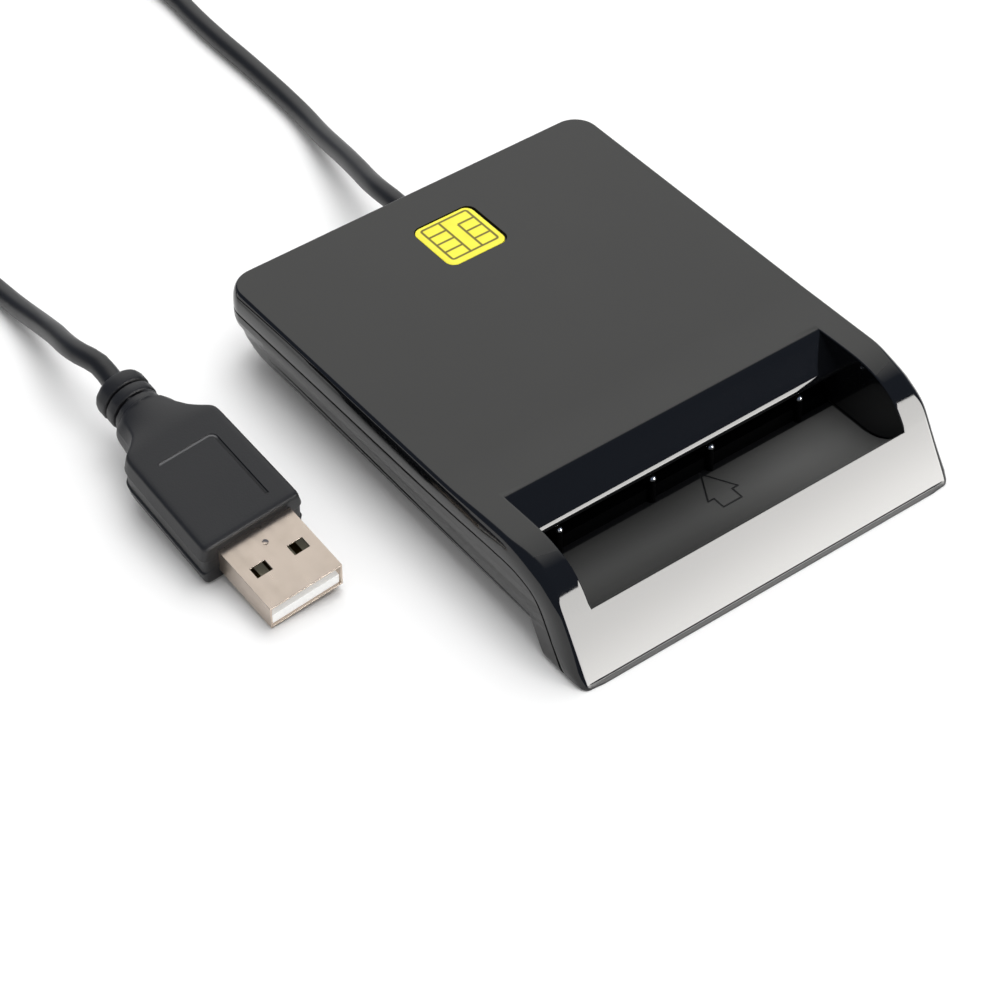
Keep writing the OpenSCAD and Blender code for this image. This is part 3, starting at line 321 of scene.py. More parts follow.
def side_strip():
    """One side of the case: for each row the wall from the parting line up to the round, the round as a quarter
    ellipse from the side to the skin, and the flat edge in to the rim."""
    n = len(line)
    r = edge_in[:, None]
    edge_x = r + (RIM - r) * EDGE_SHARE
    wall = edge_end[:, None] + (parting - edge_end)[:, None] * WALL_SHARE[:, None]
    bend = line[:, None] + (edge_end - line)[:, None] * (1 - np.sin(EDGE_TURN))[:, None]
    edge = np.stack([lip_line(HALF_W - x)[np.arange(n), np.arange(n)] for x in edge_x.T], 1)
    yz = np.concatenate([wall, bend, edge], 1)
    inset = np.concatenate([np.tile(WALL_IN, (n, 1)), r * (1 - np.cos(EDGE_TURN)), edge_x], 1)
    x = HALF_W - inset - foot_inset(yz[..., 1]) * (1.0 - inset / RIM)
    shiny = glossy(line[:, :1])
    polish = [np.full((n, len(WALL_IN)), WALL_POLISH), np.maximum(ROUND_POLISH, shiny), np.repeat(shiny, 3, 1)]
    return x, yz, np.concatenate(polish, 1)


def back_strip():
    """Round the back: the side's columns carried round the two corners and along the back wall."""
    inset = np.concatenate([WALL_IN, EDGE_IN * (1 - np.cos(EDGE_TURN)), EDGE_IN + (RIM - EDGE_IN) * EDGE_SHARE])
    depth = np.concatenate([EDGE_DOWN + (PARTING - EDGE_DOWN) * WALL_SHARE, EDGE_DOWN * (1 - np.sin(EDGE_TURN)),
                            np.zeros(3)])
    hub = np.array([HALF_W, BACK_Y]) - CORNER_R
    corner = hub + arc((0.0, 0.0), 1.0, 0.0, 90.0, 17)[:, None] * (CORNER_R - inset)[:, None]
    across = np.linspace(hub[0], -hub[0], 15)[1:-1, None]
    middle = np.stack(np.broadcast_arrays(across, BACK_Y - inset), -1)
    plan = np.concatenate([corner, middle, corner[::-1] * [-1.0, 1.0]])
    polish = np.concatenate([np.full(len(WALL_IN), WALL_POLISH), ROUND_POLISH, np.zeros(3)])
    return xyz(plan[..., 0], plan[..., 1], -depth), polish


def outline(width, length, r, centre):
    """A closed rounded rectangle in the plan, anticlockwise."""
    quarter = arc((width / 2 - r, length / 2 - r), r, 0.0, 90.0, 7)
    turned = [quarter, quarter[::-1] * [-1, 1], quarter * [-1, -1], quarter[::-1] * [1, -1]]
    return np.concatenate(turned) + centre


def add_top(skin, inner, crest):
    """The flat top out to the back strip's inner loop, with the badge's pocket sunk into it, and the crest."""
    sides_y = line[line[:, 0] >= CREST_BACK - 1e-6, 0][1:-1]
    edge_x = np.full(len(sides_y), HALF_W - RIM)
    loop = np.concatenate([np.column_stack([ACROSS[::-1], np.full(len(ACROSS), CREST_BACK)]),
                           np.column_stack([edge_x, sides_y[::-1]]), inner, np.column_stack([-edge_x, sides_y])])
    pocket = outline(10.9, 10.45, 1.6, POCKET)
    closed = np.concatenate([pocket, pocket[:1]])
    skin.flat([loop, pocket], 0.0)
    skin.grid(xyz(closed[:, 0], closed[:, 1], -POCKET_DEEP * np.array([[0.0], [0.5], [1.0]])),
              -np.append(closed[len(closed) // 2] - POCKET, 0), 0.2)
    skin.flat([pocket], -POCKET_DEEP, mark=0.2)
    skin.grid(swept(ACROSS, line[crest][:, None]), (0, 0, 1))


def add_rims(skin, first):
    """The rims beside the recess from a row on, with a small round over into the recess's side walls, those walls,
    and their ends under the brow. The round grows from nothing behind and shrinks to it at the ridge by S curves."""
    at, out = line[first:row_ridge + 2], normal[first:row_ridge + 2]
    y = at[:, :1]
    r = 0.2 * smooth((CREST_END - y) / 0.9) * smooth((y + 18.75) / 0.6)
    turn = np.radians(np.linspace(0.0, 90.0, 6))[1:]
    flat_x = RIM_X[0] + (RECESS_X + r - RIM_X[0]) * np.linspace(0.0, 1.0, 5)
    x = np.concatenate([flat_x, RECESS_X + r * (1 - np.sin(turn))], 1)
    sunk = np.concatenate([np.zeros_like(flat_x), r * (1 - np.cos(turn))], 1)
    polish = np.where(np.arange(x.shape[1]) < 5, glossy(y), 1.0)
    rim = at[:, None] - sunk[..., None] * out[:, None]
    top_y, top_z = rim[:, -1:, 0], rim[:, -1:, 1]
    down_z = top_z + (RECESS_FOOT - top_z) * np.linspace(0.0, 1.0, 7)
    for s in (-1.0, 1.0):
        wall_x = s * RECESS_X
        skin.grid(swept(s * x, rim), (0, 0, 1), polish)
        skin.grid(xyz(wall_x, top_y, down_z), (-s, 0, 0), 1.0)
        skin.grid(xyz(wall_x, np.array([[1.6], [CREST_END]]), np.linspace(-1.0, RECESS_FOOT, 6)), (-s, 0, 0), 1.0)


def add_nose(skin):
    """The nose in front of the recess with its ledge and lip, and the cut behind it, whose upper edge is a tiny round
    that meets both faces."""
    rows = np.arange(row_ridge + 1, len(line))
    skin.grid(swept(ACROSS, lip_line(ACROSS)[:, rows].transpose(1, 0, 2)), (0, -1, 0.4),
              np.where(rows > row_ledge + 2, WALL_POLISH, 1.0)[:, None])
    cut_y, edge = line[row_ridge, 0], line[row_ridge + 1]
    tip_r, tilt = 0.025, np.radians(NOSE_TILT)
    hub = np.array([cut_y - tip_r, ridge_z - tip_r * (1.0 + np.sin(tilt)) / np.cos(tilt)])
    tip = arc(hub, tip_r, 0.0, 90.0 + NOSE_TILT, 10)
    cut = np.concatenate([[[cut_y, z] for z in (-9.0, -7.5, hub[1] - 0.08, hub[1] - 0.02)], tip,
                          [0.7 * tip[-1] + 0.3 * edge, edge]])
    skin.grid(swept(BROW_X, cut[:, None]), (0, 1, 0.3), 1.0)


def add_brow(skin):
    """The brow over the slot: from the crest a parabola over the recess's back edge, a straight slope, a wide and a
    tight arc that roll under, and the underside."""
    t = np.linspace(0.0, 1.0, 6)[:, None]
    ahead, pull = np.array([0.22, crest_z(0.22)]), np.array([-0.03, crest_z(0.1) - 0.01])
    away = np.array([-0.12, crest_z(0.0) - 0.02])
    along = np.array([-4.5, -3.7]) - away
    arrive = away + 0.42 * along / np.linalg.norm(along)
    over = (1 - t) ** 2 * ahead + 2 * t * (1 - t) * pull + t ** 2 * arrive
    wide_r, tight_r, change = 1.6, 0.25, 168.0
    wide = arc((-3.089, -4.765), wide_r, 129.4, change, 12)
    tight_hub = wide[-1] - tight_r * unit(np.radians(change))
    brow = np.concatenate([[[CREST_END, crest_z(CREST_END)]], over, arrive + (wide[0] - arrive) * t[1:-1], wide,
                           arc(tight_hub, tight_r, change, 270.0, 8)[1:], [[-3.2, -4.72], [1.4, -4.6]]])
    polish = np.concatenate([[0.0, 0.0, 0.5], np.ones(len(brow) - 3)])[:, None]
    skin.grid(swept(BROW_X, brow[:, None]), (0, -1, 1), polish)


def cover_skin():
    """The cover's outer skin, from its side strips, back, top, rims, nose and brow."""
    skin = Skin()
    x, yz, polish = side_strip()
    for s in (-1.0, 1.0):
        skin.grid(swept(s * x, yz), (s, 0, 0.3), polish)
    back, polish = back_strip()
    skin.grid(back, (0, 1, 0), polish)
    crest = np.nonzero((line[:, 0] <= CREST_BACK + 1e-6) & (line[:, 0] >= CREST_END - 1e-6))[0]
    add_top(skin, back[:, -1, :2], crest)
    add_rims(skin, crest[-1])
    add_nose(skin)
    add_brow(skin)
    return skin.mesh("case_cover_skin")


def thin_out(obj, spread, levels):
    """A vertex group with the wall's share of thickness: it falls towards the nose's ridge over the given spread, in
    steps, so that the wall's inner side stays inside at that sharp edge."""
    p = read_points(obj.data)
    reach = np.where(np.abs(p[:, 0]) < 28.2, np.hypot(p[:, 1] - RIDGE_Y, p[:, 2] - ridge_z), 9.0)
    nearest = np.abs(np.clip(reach / spread, levels[0], 1.0)[:, None] - levels).argmin(1)
    group = obj.vertex_groups.new(name="wall")
    for k, level in enumerate(levels):
        group.add(np.nonzero(nearest == k)[0].tolist(), level, "REPLACE")


def part_corners(mesh, spots):
    """Keeps every edge sharp that meets one of the spots, so that the flat faces round it stay flat to the eye."""
    close = (np.linalg.norm(read_points(mesh)[:, None] - np.asarray(spots), axis=2) < 0.02).any(1)
    ends = np.empty(len(mesh.edges) * 2, np.int32)
    mesh.edges.foreach_get("vertices", ends)
    layer = mesh.attributes["sharp_edge"].data
    sharp = np.empty(len(mesh.edges), bool)
    layer.foreach_get("value", sharp)
    layer.foreach_set("value", sharp | close[ends.reshape(-1, 2)].any(1))
    mesh.update()


cover = new_piece("case_cover", cover_skin())
thick = cover.modifiers.new("wall", "SOLIDIFY")
thick.thickness = 0.2 * MM
thick.offset = -1.0
thin_out(cover, 1.1, [0.05, 0.15, 0.25, 0.45, 0.7, 1.0])
thick.vertex_group = "wall"
settle(cover, 32.0)
part_corners(cover.data, [[side * RECESS_X, *line[row]] for side in (-1, 1) for row in (row_ridge, row_ridge + 1)])


def merged_copy(node, name, bevel):
    """A copy of a solid's mesh with its doubles merged and its flat faces joined, and small bevels on its edges."""
    work = bmesh.new()
    work.from_mesh(nodes[node].data)
    bmesh.ops.remove_doubles(work, verts=work.verts, dist=2e-6)
    bmesh.ops.dissolve_limit(work, angle_limit=np.radians(0.4), verts=work.verts, edges=work.edges,
                             delimit={"NORMAL"})
    mesh = bpy.data.meshes.new(name)
    work.to_mesh(mesh)
    work.free()
    obj = new_piece(name, mesh)
    soft = obj.modifiers.new("edges", "BEVEL")
    soft.width = bevel * MM
    soft.segments = 2
    soft.limit_method = "ANGLE"
    soft.angle_limit = np.radians(30.0)
    soft.use_clamp_overlap = True
    soft.harden_normals = True
    shade(mesh, 30.0)
    return obj


def cut_through(mesh, planes):
    """Cuts the mesh along planes, given as a point in the shared frame's millimetres and a direction."""
    work = bmesh.new()
    work.from_mesh(mesh)
    for place, facing in planes:
        bmesh.ops.bisect_plane(work, geom=work.verts[:] + work.edges[:] + work.faces[:], dist=1e-7,
                               plane_co=[c * MM for c in place], plane_no=facing)
    work.to_mesh(mesh)
    work.free()


def round_tray(mesh):
    """Cuts the tray's outer walls at even heights and draws them in: near the table as the cover's foot does, along
    the belly by an S curve of the height, and at the two back corners by a corner radius that grows with depth."""
    heights = np.append(FOOT_Z + FOOT_HIGH * (1 - np.cos(np.radians(np.arange(15, 91, 15)))), np.arange(-12.0, -4.5))
    planes = [((0, 0, z + TOP_Z), (0, 0, 1)) for z in heights]
    for step in np.linspace(0.0, 6.0, 7):
        side = HALF_W - CORNER_R - step
        planes += [((0, BACK_Y - CORNER_R - step + RECESS_Y, 0), (0, 1, 0)), ((side, 0, 0), (1, 0, 0)),
                   ((-side, 0, 0), (1, 0, 0))]
    cut_through(mesh, planes)

    wall_in, shoulder_z, belly_in, corner_more = 2.1, -5.0, 1.15, 5.5
    p = read_points(mesh)
    outer = np.clip((np.abs(p[:, 0]) - (HALF_W - wall_in)) / wall_in, 0.0, 1.0)
    p[:, 0] -= np.sign(p[:, 0]) * foot_inset(p[:, 2]) * outer
    belly = belly_in * smooth((shoulder_z - p[:, 2]) / 3.5) * smooth((p[:, 1] + 12.0) / 10.0) * outer
    p[:, 0] -= np.sign(p[:, 0]) * belly
    # At a corner a point comes to lie as deep under a wall of the wider radius as it lay under the upright one
    arm = np.column_stack([np.abs(p[:, 0]) + belly, p[:, 1]]) - (np.array([HALF_W, BACK_Y]) - CORNER_R)
    within = np.where((arm > 0).all(1), CORNER_R - np.linalg.norm(arm, axis=1), (CORNER_R - arm).min(1))
    drop = np.clip((shoulder_z - p[:, 2]) / 6.5, 0.0, 1.0)
    wider = CORNER_R + corner_more * (1 - np.sqrt(1 - drop ** 2 * 0.98))
    hub = np.column_stack([HALF_W - belly - wider, BACK_Y - wider])
    arm = np.column_stack([np.abs(p[:, 0]), p[:, 1]]) - hub
    reach = np.maximum(np.linalg.norm(arm, axis=1), 1e-6)
    shrink = np.where((arm > 0).all(1), np.minimum(1.0, (wider - within) / reach), 1.0)[:, None]
    side = np.column_stack([np.sign(p[:, 0]), np.ones(len(p))])
    p[:, :2] = np.where(shrink < 1.0, side * (hub + arm * shrink), p[:, :2])
    mesh.vertices.foreach_set("co", ((p + HOME) * MM).astype(np.float32).reshape(-1))
    mesh.update()
    shade(mesh, 30.0)


tray = merged_copy("bottom_shell", "case_tray", 0.1)
round_tray(tray.data)


def ramp_sheet():
    """The ramp's finished top: flat behind, then an arc up to its tip, carried across the recess. A thin body under
    it runs into the tray."""
    rise = np.degrees(np.arccos((RAMP_R - 5.27) / RAMP_R))
    flat = np.column_stack([np.linspace(RAMP_BACK, RAMP_FOLD, 5)[:-1], np.full(4, RAMP_LOW)])
    hub_z = RAMP_LOW + RAMP_R
    curve = arc((RAMP_FOLD, hub_z), RAMP_R, 270.0, 270.0 - rise, 25)
    curve = curve[curve[:, 0] > RAMP_TIP + 0.22]
    tip = np.array([RAMP_TIP, hub_z - np.sqrt(RAMP_R ** 2 - (RAMP_TIP - RAMP_FOLD) ** 2)])
    top = np.concatenate([flat, curve, [tip, tip - [0.05, 0.04]]])
    under = top[::-1] + [0.12, -0.16]
    ring = np.concatenate([top, under, top[:1]])
    skin = Skin()
    skin.grid(swept(np.array([-RAMP_X, 0.05 - RAMP_X, 0.0, RAMP_X - 0.05, RAMP_X]), ring[:, None]), (0, 0, -1))
    for side in (-RAMP_X, RAMP_X):
        skin.grid(swept(side, np.stack([top, under[::-1]], 1)), (side, 0, 0))
    return skin.mesh("card_ramp_top")


def badge_sheet():
    """The badge: a flat rounded plate with a small round on its upper edge, as closed loops that shrink as they
    rise."""
    width, length, corner_r, foot_z, edge_z, edge_r = 10.4, 10.15, 1.45, -0.48, -0.18, 0.12
    turn = np.radians(np.linspace(0.0, 90.0, 5))
    inset = np.append(0.0, edge_r * (1 - np.cos(turn)))
    z = np.append(foot_z, edge_z + edge_r * np.sin(turn))
    loops = np.stack([outline(width - 2 * d, length - 2 * d, corner_r - d, BADGE) for d in inset])
    x, y = np.concatenate([loops, loops[:, :1]], 1).transpose(2, 0, 1)
    skin = Skin()
    skin.grid(xyz(x, y, z[:, None]), np.append(loops[0, loops.shape[1] // 2] - BADGE, 0.0))
    skin.flat([loops[-1]], z[-1])
    skin.flat([loops[0]], z[0], up=False)
    return skin.mesh("badge_plate")


def guide_caps():
    """Four small domes on the guide studs: half a sphere each, closed below by a disc."""
    skin = Skin()
    radius = 0.6
    u, v = np.radians(np.linspace(0, 360, 17))[:, None], np.radians(np.linspace(0, 90, 7))
    dome = xyz(np.cos(u) * np.cos(v), np.sin(u) * np.cos(v), np.sin(v)) * radius
    base = xyz(np.cos(u), np.sin(u), 0.0) * np.linspace(0.0, radius, 7)[:, None]
    for x in (-21.49, -5.2, 5.2, 21.49):
        at = np.array([x, -3.55, -6.87])
        skin.grid(dome + at, (-1, 0, 0.5))
        skin.grid(base + at, (0, 0, -1))
    return skin.mesh("guide_caps")


caps = new_piece("guide_stud_caps", guide_caps())
settle(caps, 50.0)
badge = new_piece("badge_plate", badge_sheet())
settle(badge, 40.0)
ramp = new_piece("card_ramp", ramp_sheet())
settle(ramp, 30.0)


def turn_about(axis, degrees):
    """The rotation matrix about one axis."""
    c, s = unit(np.radians(degrees))
    return {"x": np.array([[1, 0, 0], [0, c, -s], [0, s, c]]),
            "y": np.array([[c, 0, s], [0, 1, 0], [-s, 0, c]]),
            "z": np.array([[c, -s, 0], [s, c, 0], [0, 0, 1]])}[axis]


# The plug's own frame: x across it, y back from its tip, z up, in millimetres
PLUG_TURN = turn_about("z", 1.7) @ turn_about("x", 8.9) @ turn_about("y", -4.7)
PLUG_TIP = np.array([-53.0, -7.65, 2.9])


def plug_to_part(points):
    """From the plug's own frame into the shared one, in millimetres."""
    return np.asarray(points, float) @ PLUG_TURN.T + PLUG_TIP


def capped(rings, first, last):
    """Rings of points with one more before and behind, shrunk to a point each, which close the ends."""
    return np.concatenate([np.broadcast_to(first, rings[:1].shape), rings, np.broadcast_to(last, rings[:1].shape)])


def grip_surface():
    """The moulded grip: a section carried along the plug's length. In front it is a box with rounded top edges and a
    recessed band along each side, given as half widths and heights, and it turns into a circle along the shoulders.
    Then come the neck and two rings between grooves, circles whose radius is a table of the length."""
    half_w, half_h, band_w = 8.1, 4.15, 8.06
    half = np.array([[0.0, 4.15], [2.4, 4.15], [4.8, 4.15], [6.6, 4.15], [7.1, 4.13], [7.4, 4.03], [7.58, 3.85],
                     [7.66, 3.6], [8.02, 1.75], [8.06, 1.6], [8.0, 1.45], [7.8, 1.32], [7.78, 1.1], [7.78, 0.0]])
    right_half = np.concatenate([half, half[-2::-1] * [1, -1]])
    section = np.concatenate([right_half, right_half[-2:0:-1] * [-1, 1]])
    angle = np.unwrap(np.arctan2(section[:, 0] / half_w, section[:, 1] / half_h))
    round_x, round_z = np.sin(angle), np.cos(angle)

    # The body: its front edge drawn in, its width as a table that is smoothed once, and its shoulders
    front = [12.0, 12.02, 12.1, 12.25, 12.5, 12.9]
    y = np.concatenate([front, np.linspace(13.5, 30.0, 9), np.linspace(30.4, 38.6, 24)])
    front_in = np.interp(y, front, [0.75, 0.55, 0.33, 0.15, 0.04, 0.0])
    wide = np.interp(y, [13.5, 21.6, 29.7, 31.0, 31.9, 33.1, 34.3, 34.9, 36.4, 38.0, 38.6],
                     [8.2, 8.08, 7.95, 7.9, 7.72, 6.45, 5.62, 5.45, 5.15, 4.9, 4.5])
    wide[1:-1] = (wide[:-2] + 2.0 * wide[1:-1] + wide[2:]) / 4.0
    tall = half_h - 0.45 * smooth((y - 31.5) / 7.0)
    blend = smooth((y - 31.0) / 8.4)[:, None]
    box_x = section[:, 0] * (wide / band_w * (1 - front_in / half_w))[:, None]
    box_z = section[:, 1] * (tall / half_h * (1 - front_in / half_h))[:, None]
    body_x = box_x + (round_x * wide[:, None] - box_x) * blend
    body_z = box_z + (round_z * tall[:, None] - box_z) * blend

    # The neck: rows 4 and 5 are its first groove, open only over two stretches of the turn from the top
    y_neck = np.array([38.82, 38.95, 39.9, 39.98, 40.02, 40.38, 40.42, 40.55, 40.75, 41.9, 42.05, 42.12, 42.16, 42.44,
                       42.48, 42.6, 42.8, 44.1, 44.5, 44.8, 45.05, 45.2, 45.25, 45.25])
    r_neck = np.array([3.9, 3.76, 3.74, 3.68, 3.1, 3.1, 3.66, 3.82, 3.9, 3.9, 3.84, 3.7, 3.3, 3.3,
                       3.75, 3.9, 4.0, 4.0, 3.92, 3.74, 3.42, 2.9, 2.4, 1.6])
    from_top = (np.degrees(angle) + 180.0) % 360.0 - 180.0
    groove = (smooth((from_top + 102.0) / 6.0) * smooth((-15.0 - from_top) / 6.0)
              + smooth((from_top + 4.0) / 4.0) * smooth((27.0 - from_top) / 6.0))
    radius = np.repeat(r_neck[:, None], len(section), 1)
    radius[4:6] += (3.74 - radius[4:6]) * (1.0 - groove)

    # Both together: a little wider on the left in front, and the neck set off to the left
    y = np.concatenate([y, y_neck])[:, None]
    x, z = np.concatenate([body_x, round_x * radius]), np.concatenate([body_z, round_z * radius])
    x = x * np.where(x < 0, 1.0 + 0.06 * (1.0 - smooth((y - 30.0) / 4.0)), 1.0) - 0.35 * smooth((y - 34.0) / 4.0)
    points = xyz(x, y, z)
    skin = Skin()
    skin.grid(capped(np.concatenate([points, points[:, :1]], 1), (0.0, y[0, 0], 0.0), (0.0, y[-1, 0], 0.0)),
              (0, 0, -1))
    return skin.mesh("plug_grip_skin", PLUG_TIP, PLUG_TURN)


def dimple_dish():
    """The dish pressed into the shell's top: its depth falls off with the square of the radius. Below is a flat
    body, deeper under the dish."""
    a, r = np.meshgrid(np.radians(np.linspace(0, 360, 33)), np.linspace(0.0, 0.75, 16), indexing="ij")
    dish_r, deep, centre = 0.5, 0.12, np.array([-0.1, 9.35, 2.256])
    top = xyz(np.sin(a) * r, np.cos(a) * r, -deep * (1 - np.clip(r / dish_r, 0, 1) ** 2)) + centre
    low = xyz(np.sin(a) * r, np.cos(a) * r, np.where(r < dish_r, -0.36, -0.02)) + centre
    skin = Skin()
    skin.grid(top, (0, 0, 1))
    skin.grid(low, (0, 0, -1))
    skin.grid(np.stack([top[:, -1], low[:, -1]], 1), top[16, -1] - centre)
    return skin.mesh("plug_dimple", PLUG_TIP, PLUG_TURN)


grip = new_piece("plug_grip_moulding", grip_surface())
settle(grip, 38.0)
shell = merged_copy("plug_shell", "plug_shell_sheet", 0.07)
tongue = merged_copy("plug_insulator", "plug_tongue", 0.06)
dimple = new_piece("plug_dimple", dimple_dish())
settle(dimple, 50.0)

# The lead in millimetres: its radius, the height of its middle where it lies on the table, and the coil
LEAD_R, LYING = 1.65, 1.7
COIL_X, COIL_Y, COIL_R, COIL_PITCH, COIL_TURNS = -58.0, 131.0, 25.0, 3.9, 6.25


def coil_path():
    """The coil: the radius shrinks by a pitch a turn and grows again one layer up, with half a cosine wave
    between the layers."""
    turns = np.linspace(0.0, COIL_TURNS, 151)
    half = COIL_TURNS / 2
    r = COIL_R - COIL_PITCH * (half - np.abs(turns - half))
    climb = np.clip((turns - half + 0.25) * 2, 0.0, 1.0)
    x, y = r * unit(np.radians(180.0 - 360.0 * turns)).T
    return np.column_stack([COIL_X + x, COIL_Y + y, LYING + COIL_PITCH * (1 - np.cos(np.pi * climb)) / 2])


def lying(*places):
    """Places of the lead's middle on the table, from x and y."""
    return [(x, y, LYING) for x, y in places]


def cord_route():
    """The lead's centreline: straight out of the case, down to the table, behind the case and into the coil, and
    back to the plug's boot."""
    case_exit = np.array([0.0, 42.5975, 11.15])
    boot, behind = plug_to_part([[0.0, 47.3, 0.0], [0.0, 48.3, 0.0]])
    from_case = [(0.3, 50, 10.5), (1.1, 54, 9.4), (2.3, 58.5, 8.1), (3.5, 63.2, 6.7), (4.6, 68, 5.3), (5.6, 72.7, 4),
                 (6.6, 77, 2.9), (7.5, 81.5, 2.2), (8.1, 87, 1.8),
                 *lying((8.4, 94), (8.5, 101), (8.5, 108), (8.7, 115), (9.2, 122), (9.2, 129), (7.6, 136), (4, 142.5),
                        (-1.5, 148), (-8.5, 152), (-16.5, 154.7)),
                 (-25, 155.8, 1.9), (-33.5, 156, 2.8), (-41.5, 156, 4.2)]
    to_coil = [(-51.4, 156.0, 5.6), (-54.7, 156.0, 5.6)]
    to_plug = [*lying((-83.0, 127.7), (-81.8, 122.4), (-78.9, 117.2), (-74.5, 112), (-70, 107), (-65.5, 102),
                      (-61.5, 97), (-58, 92), (-55.5, 87), (-54, 82), (-53.3, 77)),
               (-53.1, 72.5, 2), (-53.2, 68, 2.9), (-53.4, 63.5, 4.2), (-53.8, 59, 5.8), (-54.4, 54.5, 7.6),
               (-55.1, 50.5, 9.1), (-55.3, 46.5, 10.3)]
    return np.concatenate([[case_exit, case_exit + [0, 2 * LEAD_R, 0]], from_case, to_coil, coil_path()[::-1], to_plug,
                           [boot + 2 * LEAD_R * (behind - boot), boot],
                           plug_to_part([[-0.2, 45.6, 0], [-0.3, 44.2, 0]])])


def even_line(points, step):
    """The same line through its points with rounded bends, taken at even steps of length. Between two points it is
    a cubic, whose slope at each of them is half the way from the point before to the point after."""
    p = np.concatenate([2 * points[:1] - points[1:2], points, 2 * points[-1:] - points[-2:-1]])
    u = np.linspace(0, 1, 9)[:-1][:, None, None]
    a, b, c, d = p[None, :-3], p[None, 1:-2], p[None, 2:-1], p[None, 3:]
    curve = 0.5 * (2 * b + (c - a) * u + (2 * a - 5 * b + 4 * c - d) * u ** 2 + (3 * b - a - 3 * c + d) * u ** 3)
    curve = np.concatenate([curve.transpose(1, 0, 2).reshape(-1, 3), points[-1:]])
    length = np.append(0, np.cumsum(np.linalg.norm(np.diff(curve, axis=0), axis=1)))
    at = np.linspace(0, length[-1], int(length[-1] / step) + 1)
    return np.column_stack([np.interp(at, length, curve[:, k]) for k in range(3)]), length[-1]


def lead_tube(path, radius, sides=20):
    """A circle carried along a path: at each point it stands square to the path, on one direction that is kept level
    and another square to it, and both ends are closed."""
    tangent = np.gradient(path, axis=0)
    tangent /= np.linalg.norm(tangent, axis=1)[:, None]
    level = np.cross(tangent, [0.0, 0.0, 1.0])
    level /= np.linalg.norm(level, axis=1)[:, None]
    cos, sin = unit(np.linspace(0, 2 * np.pi, sides + 1)).T[..., None]
    ring = cos * level[:, None] + sin * np.cross(level, tangent)[:, None]
    skin = Skin()
    skin.grid(capped(path[:, None] + radius * ring, path[0], path[-1]), ring[len(path) // 2, sides // 2])
    return skin.mesh("lead_cord", 0.0)


route, route_mm = even_line(cord_route(), 2.0)
lead = new_piece("lead_cord", lead_tube(route, LEAD_R))
shade(lead.data, 60.0)


class Socket:
    """One output of a shader node. Sums on it add Math nodes."""

    def __init__(self, paint, out):
        self.paint, self.out = paint, out

    def do(self, operation, *values):
        return self.paint.node("ShaderNodeMath", {"operation": operation}, *values)

    def __add__(self, other):
        return self.do("ADD", self, other)

    def __sub__(self, other):
        return self.do("SUBTRACT", self, other)

    def __rsub__(self, other):
        return self.do("SUBTRACT", other, self)

    def __mul__(self, other):
        return self.do("MULTIPLY", self, other)

    __radd__, __rmul__ = __add__, __mul__

    def least(self, other):
        return self.do("MINIMUM", self, other)

    def most(self, other):
        return self.do("MAXIMUM", self, other)

    def size(self):
        return self.do("ABSOLUTE", self)

    def root(self):
        return self.do("SQRT", self)

    def floor(self):
        return self.do("FLOOR", self)

    def step(self, low, high):
        """0 below low, 1 above high, an S curve between. It falls where low is the higher."""
        return self.paint.node("ShaderNodeMapRange", {"interpolation_type": "SMOOTHSTEP"}, self, low, high)


class Nodes:
    """A node tree that starts empty."""

    def __init__(self, tree):
        self.tree = tree
        tree.nodes.clear()

    def feed(self, socket, value):
        """Links a Socket to an input, or sets the input to a plain value."""
        if isinstance(value, Socket):
            self.tree.links.new(value.out, socket)
        else:
            socket.default_value = value

    def node(self, kind, settings=None, *values, out=None, **named):
        """Adds a node: its settings first, then its inputs in order or by name, as values or sockets. The result is
        its first output in use, or the one that out names."""
        made = self.tree.nodes.new(kind)
        for key, value in (settings or {}).items():
            setattr(made, key, value)
        for socket, value in zip([s for s in made.inputs if s.enabled], values):
            self.feed(socket, value)
        for key, value in named.items():
            self.feed(made.inputs[key.replace("_", " ")], value)
        return Socket(self, next((s for s in made.outputs if s.enabled), None) if out is None else made.outputs[out])

    def vector(self, operation, *values):
        return self.node("ShaderNodeVectorMath", {"operation": operation}, *values)

    def place(self):
        """The point on the piece, in metres in the shared frame."""
        return self.node("ShaderNodeTexCoord", out="Object")

    def split(self, vector):
        made = self.node("ShaderNodeSeparateXYZ", None, vector).out.node
        return [Socket(self, out) for out in made.outputs]

    def in_case(self):
        """The point's x, y and z in the case's own millimetres."""
        return self.split(self.vector("MULTIPLY_ADD", self.place(), (1000.0, 1000.0, 1000.0), tuple(-HOME)))

    def in_plug(self):
        """The point's x, y and z in the plug's own frame, in millimetres."""
        at = self.place()
        return [self.vector("DOT_PRODUCT", at, tuple(axis / MM)) - float(axis @ PLUG_TIP) for axis in PLUG_TURN.T]

    def noise(self, vector, scale, detail=3.0):
        return self.node("ShaderNodeTexNoise", None, Vector=vector, Scale=scale, Detail=detail)

    def mix(self, factor, a, b):
        return self.node("ShaderNodeMix", {"data_type": "RGBA"}, factor, a, b)

    def bump(self, height, distance, strength):
        """A normal from a height, whose unit is a distance in millimetres."""
        return self.node("ShaderNodeBump", None, Strength=strength, Distance=distance * MM, Height=height)

    def ray(self, kind):
        """1 for rays of one kind, 0 for others."""
        return self.node("ShaderNodeLightPath", out=f"Is {kind} Ray")


class Paint(Nodes):
    """One material."""

    def __init__(self, name):
        self.material = bpy.data.materials.new(name)
        self.material.use_nodes = True
        super().__init__(self.material.node_tree)
        self.surface = self.node("ShaderNodeBsdfPrincipled")
        self.output = self.tree.nodes.new("ShaderNodeOutputMaterial")
        self.show(self.surface)

    def show(self, shader):
        self.feed(self.output.inputs[0], shader)

    def finish(self, **sockets):
        """Feeds the surface's named sockets and gives the finished material."""
        for key, value in sockets.items():
            self.feed(self.surface.out.node.inputs[key.replace("_", " ")], value)
        return self.material


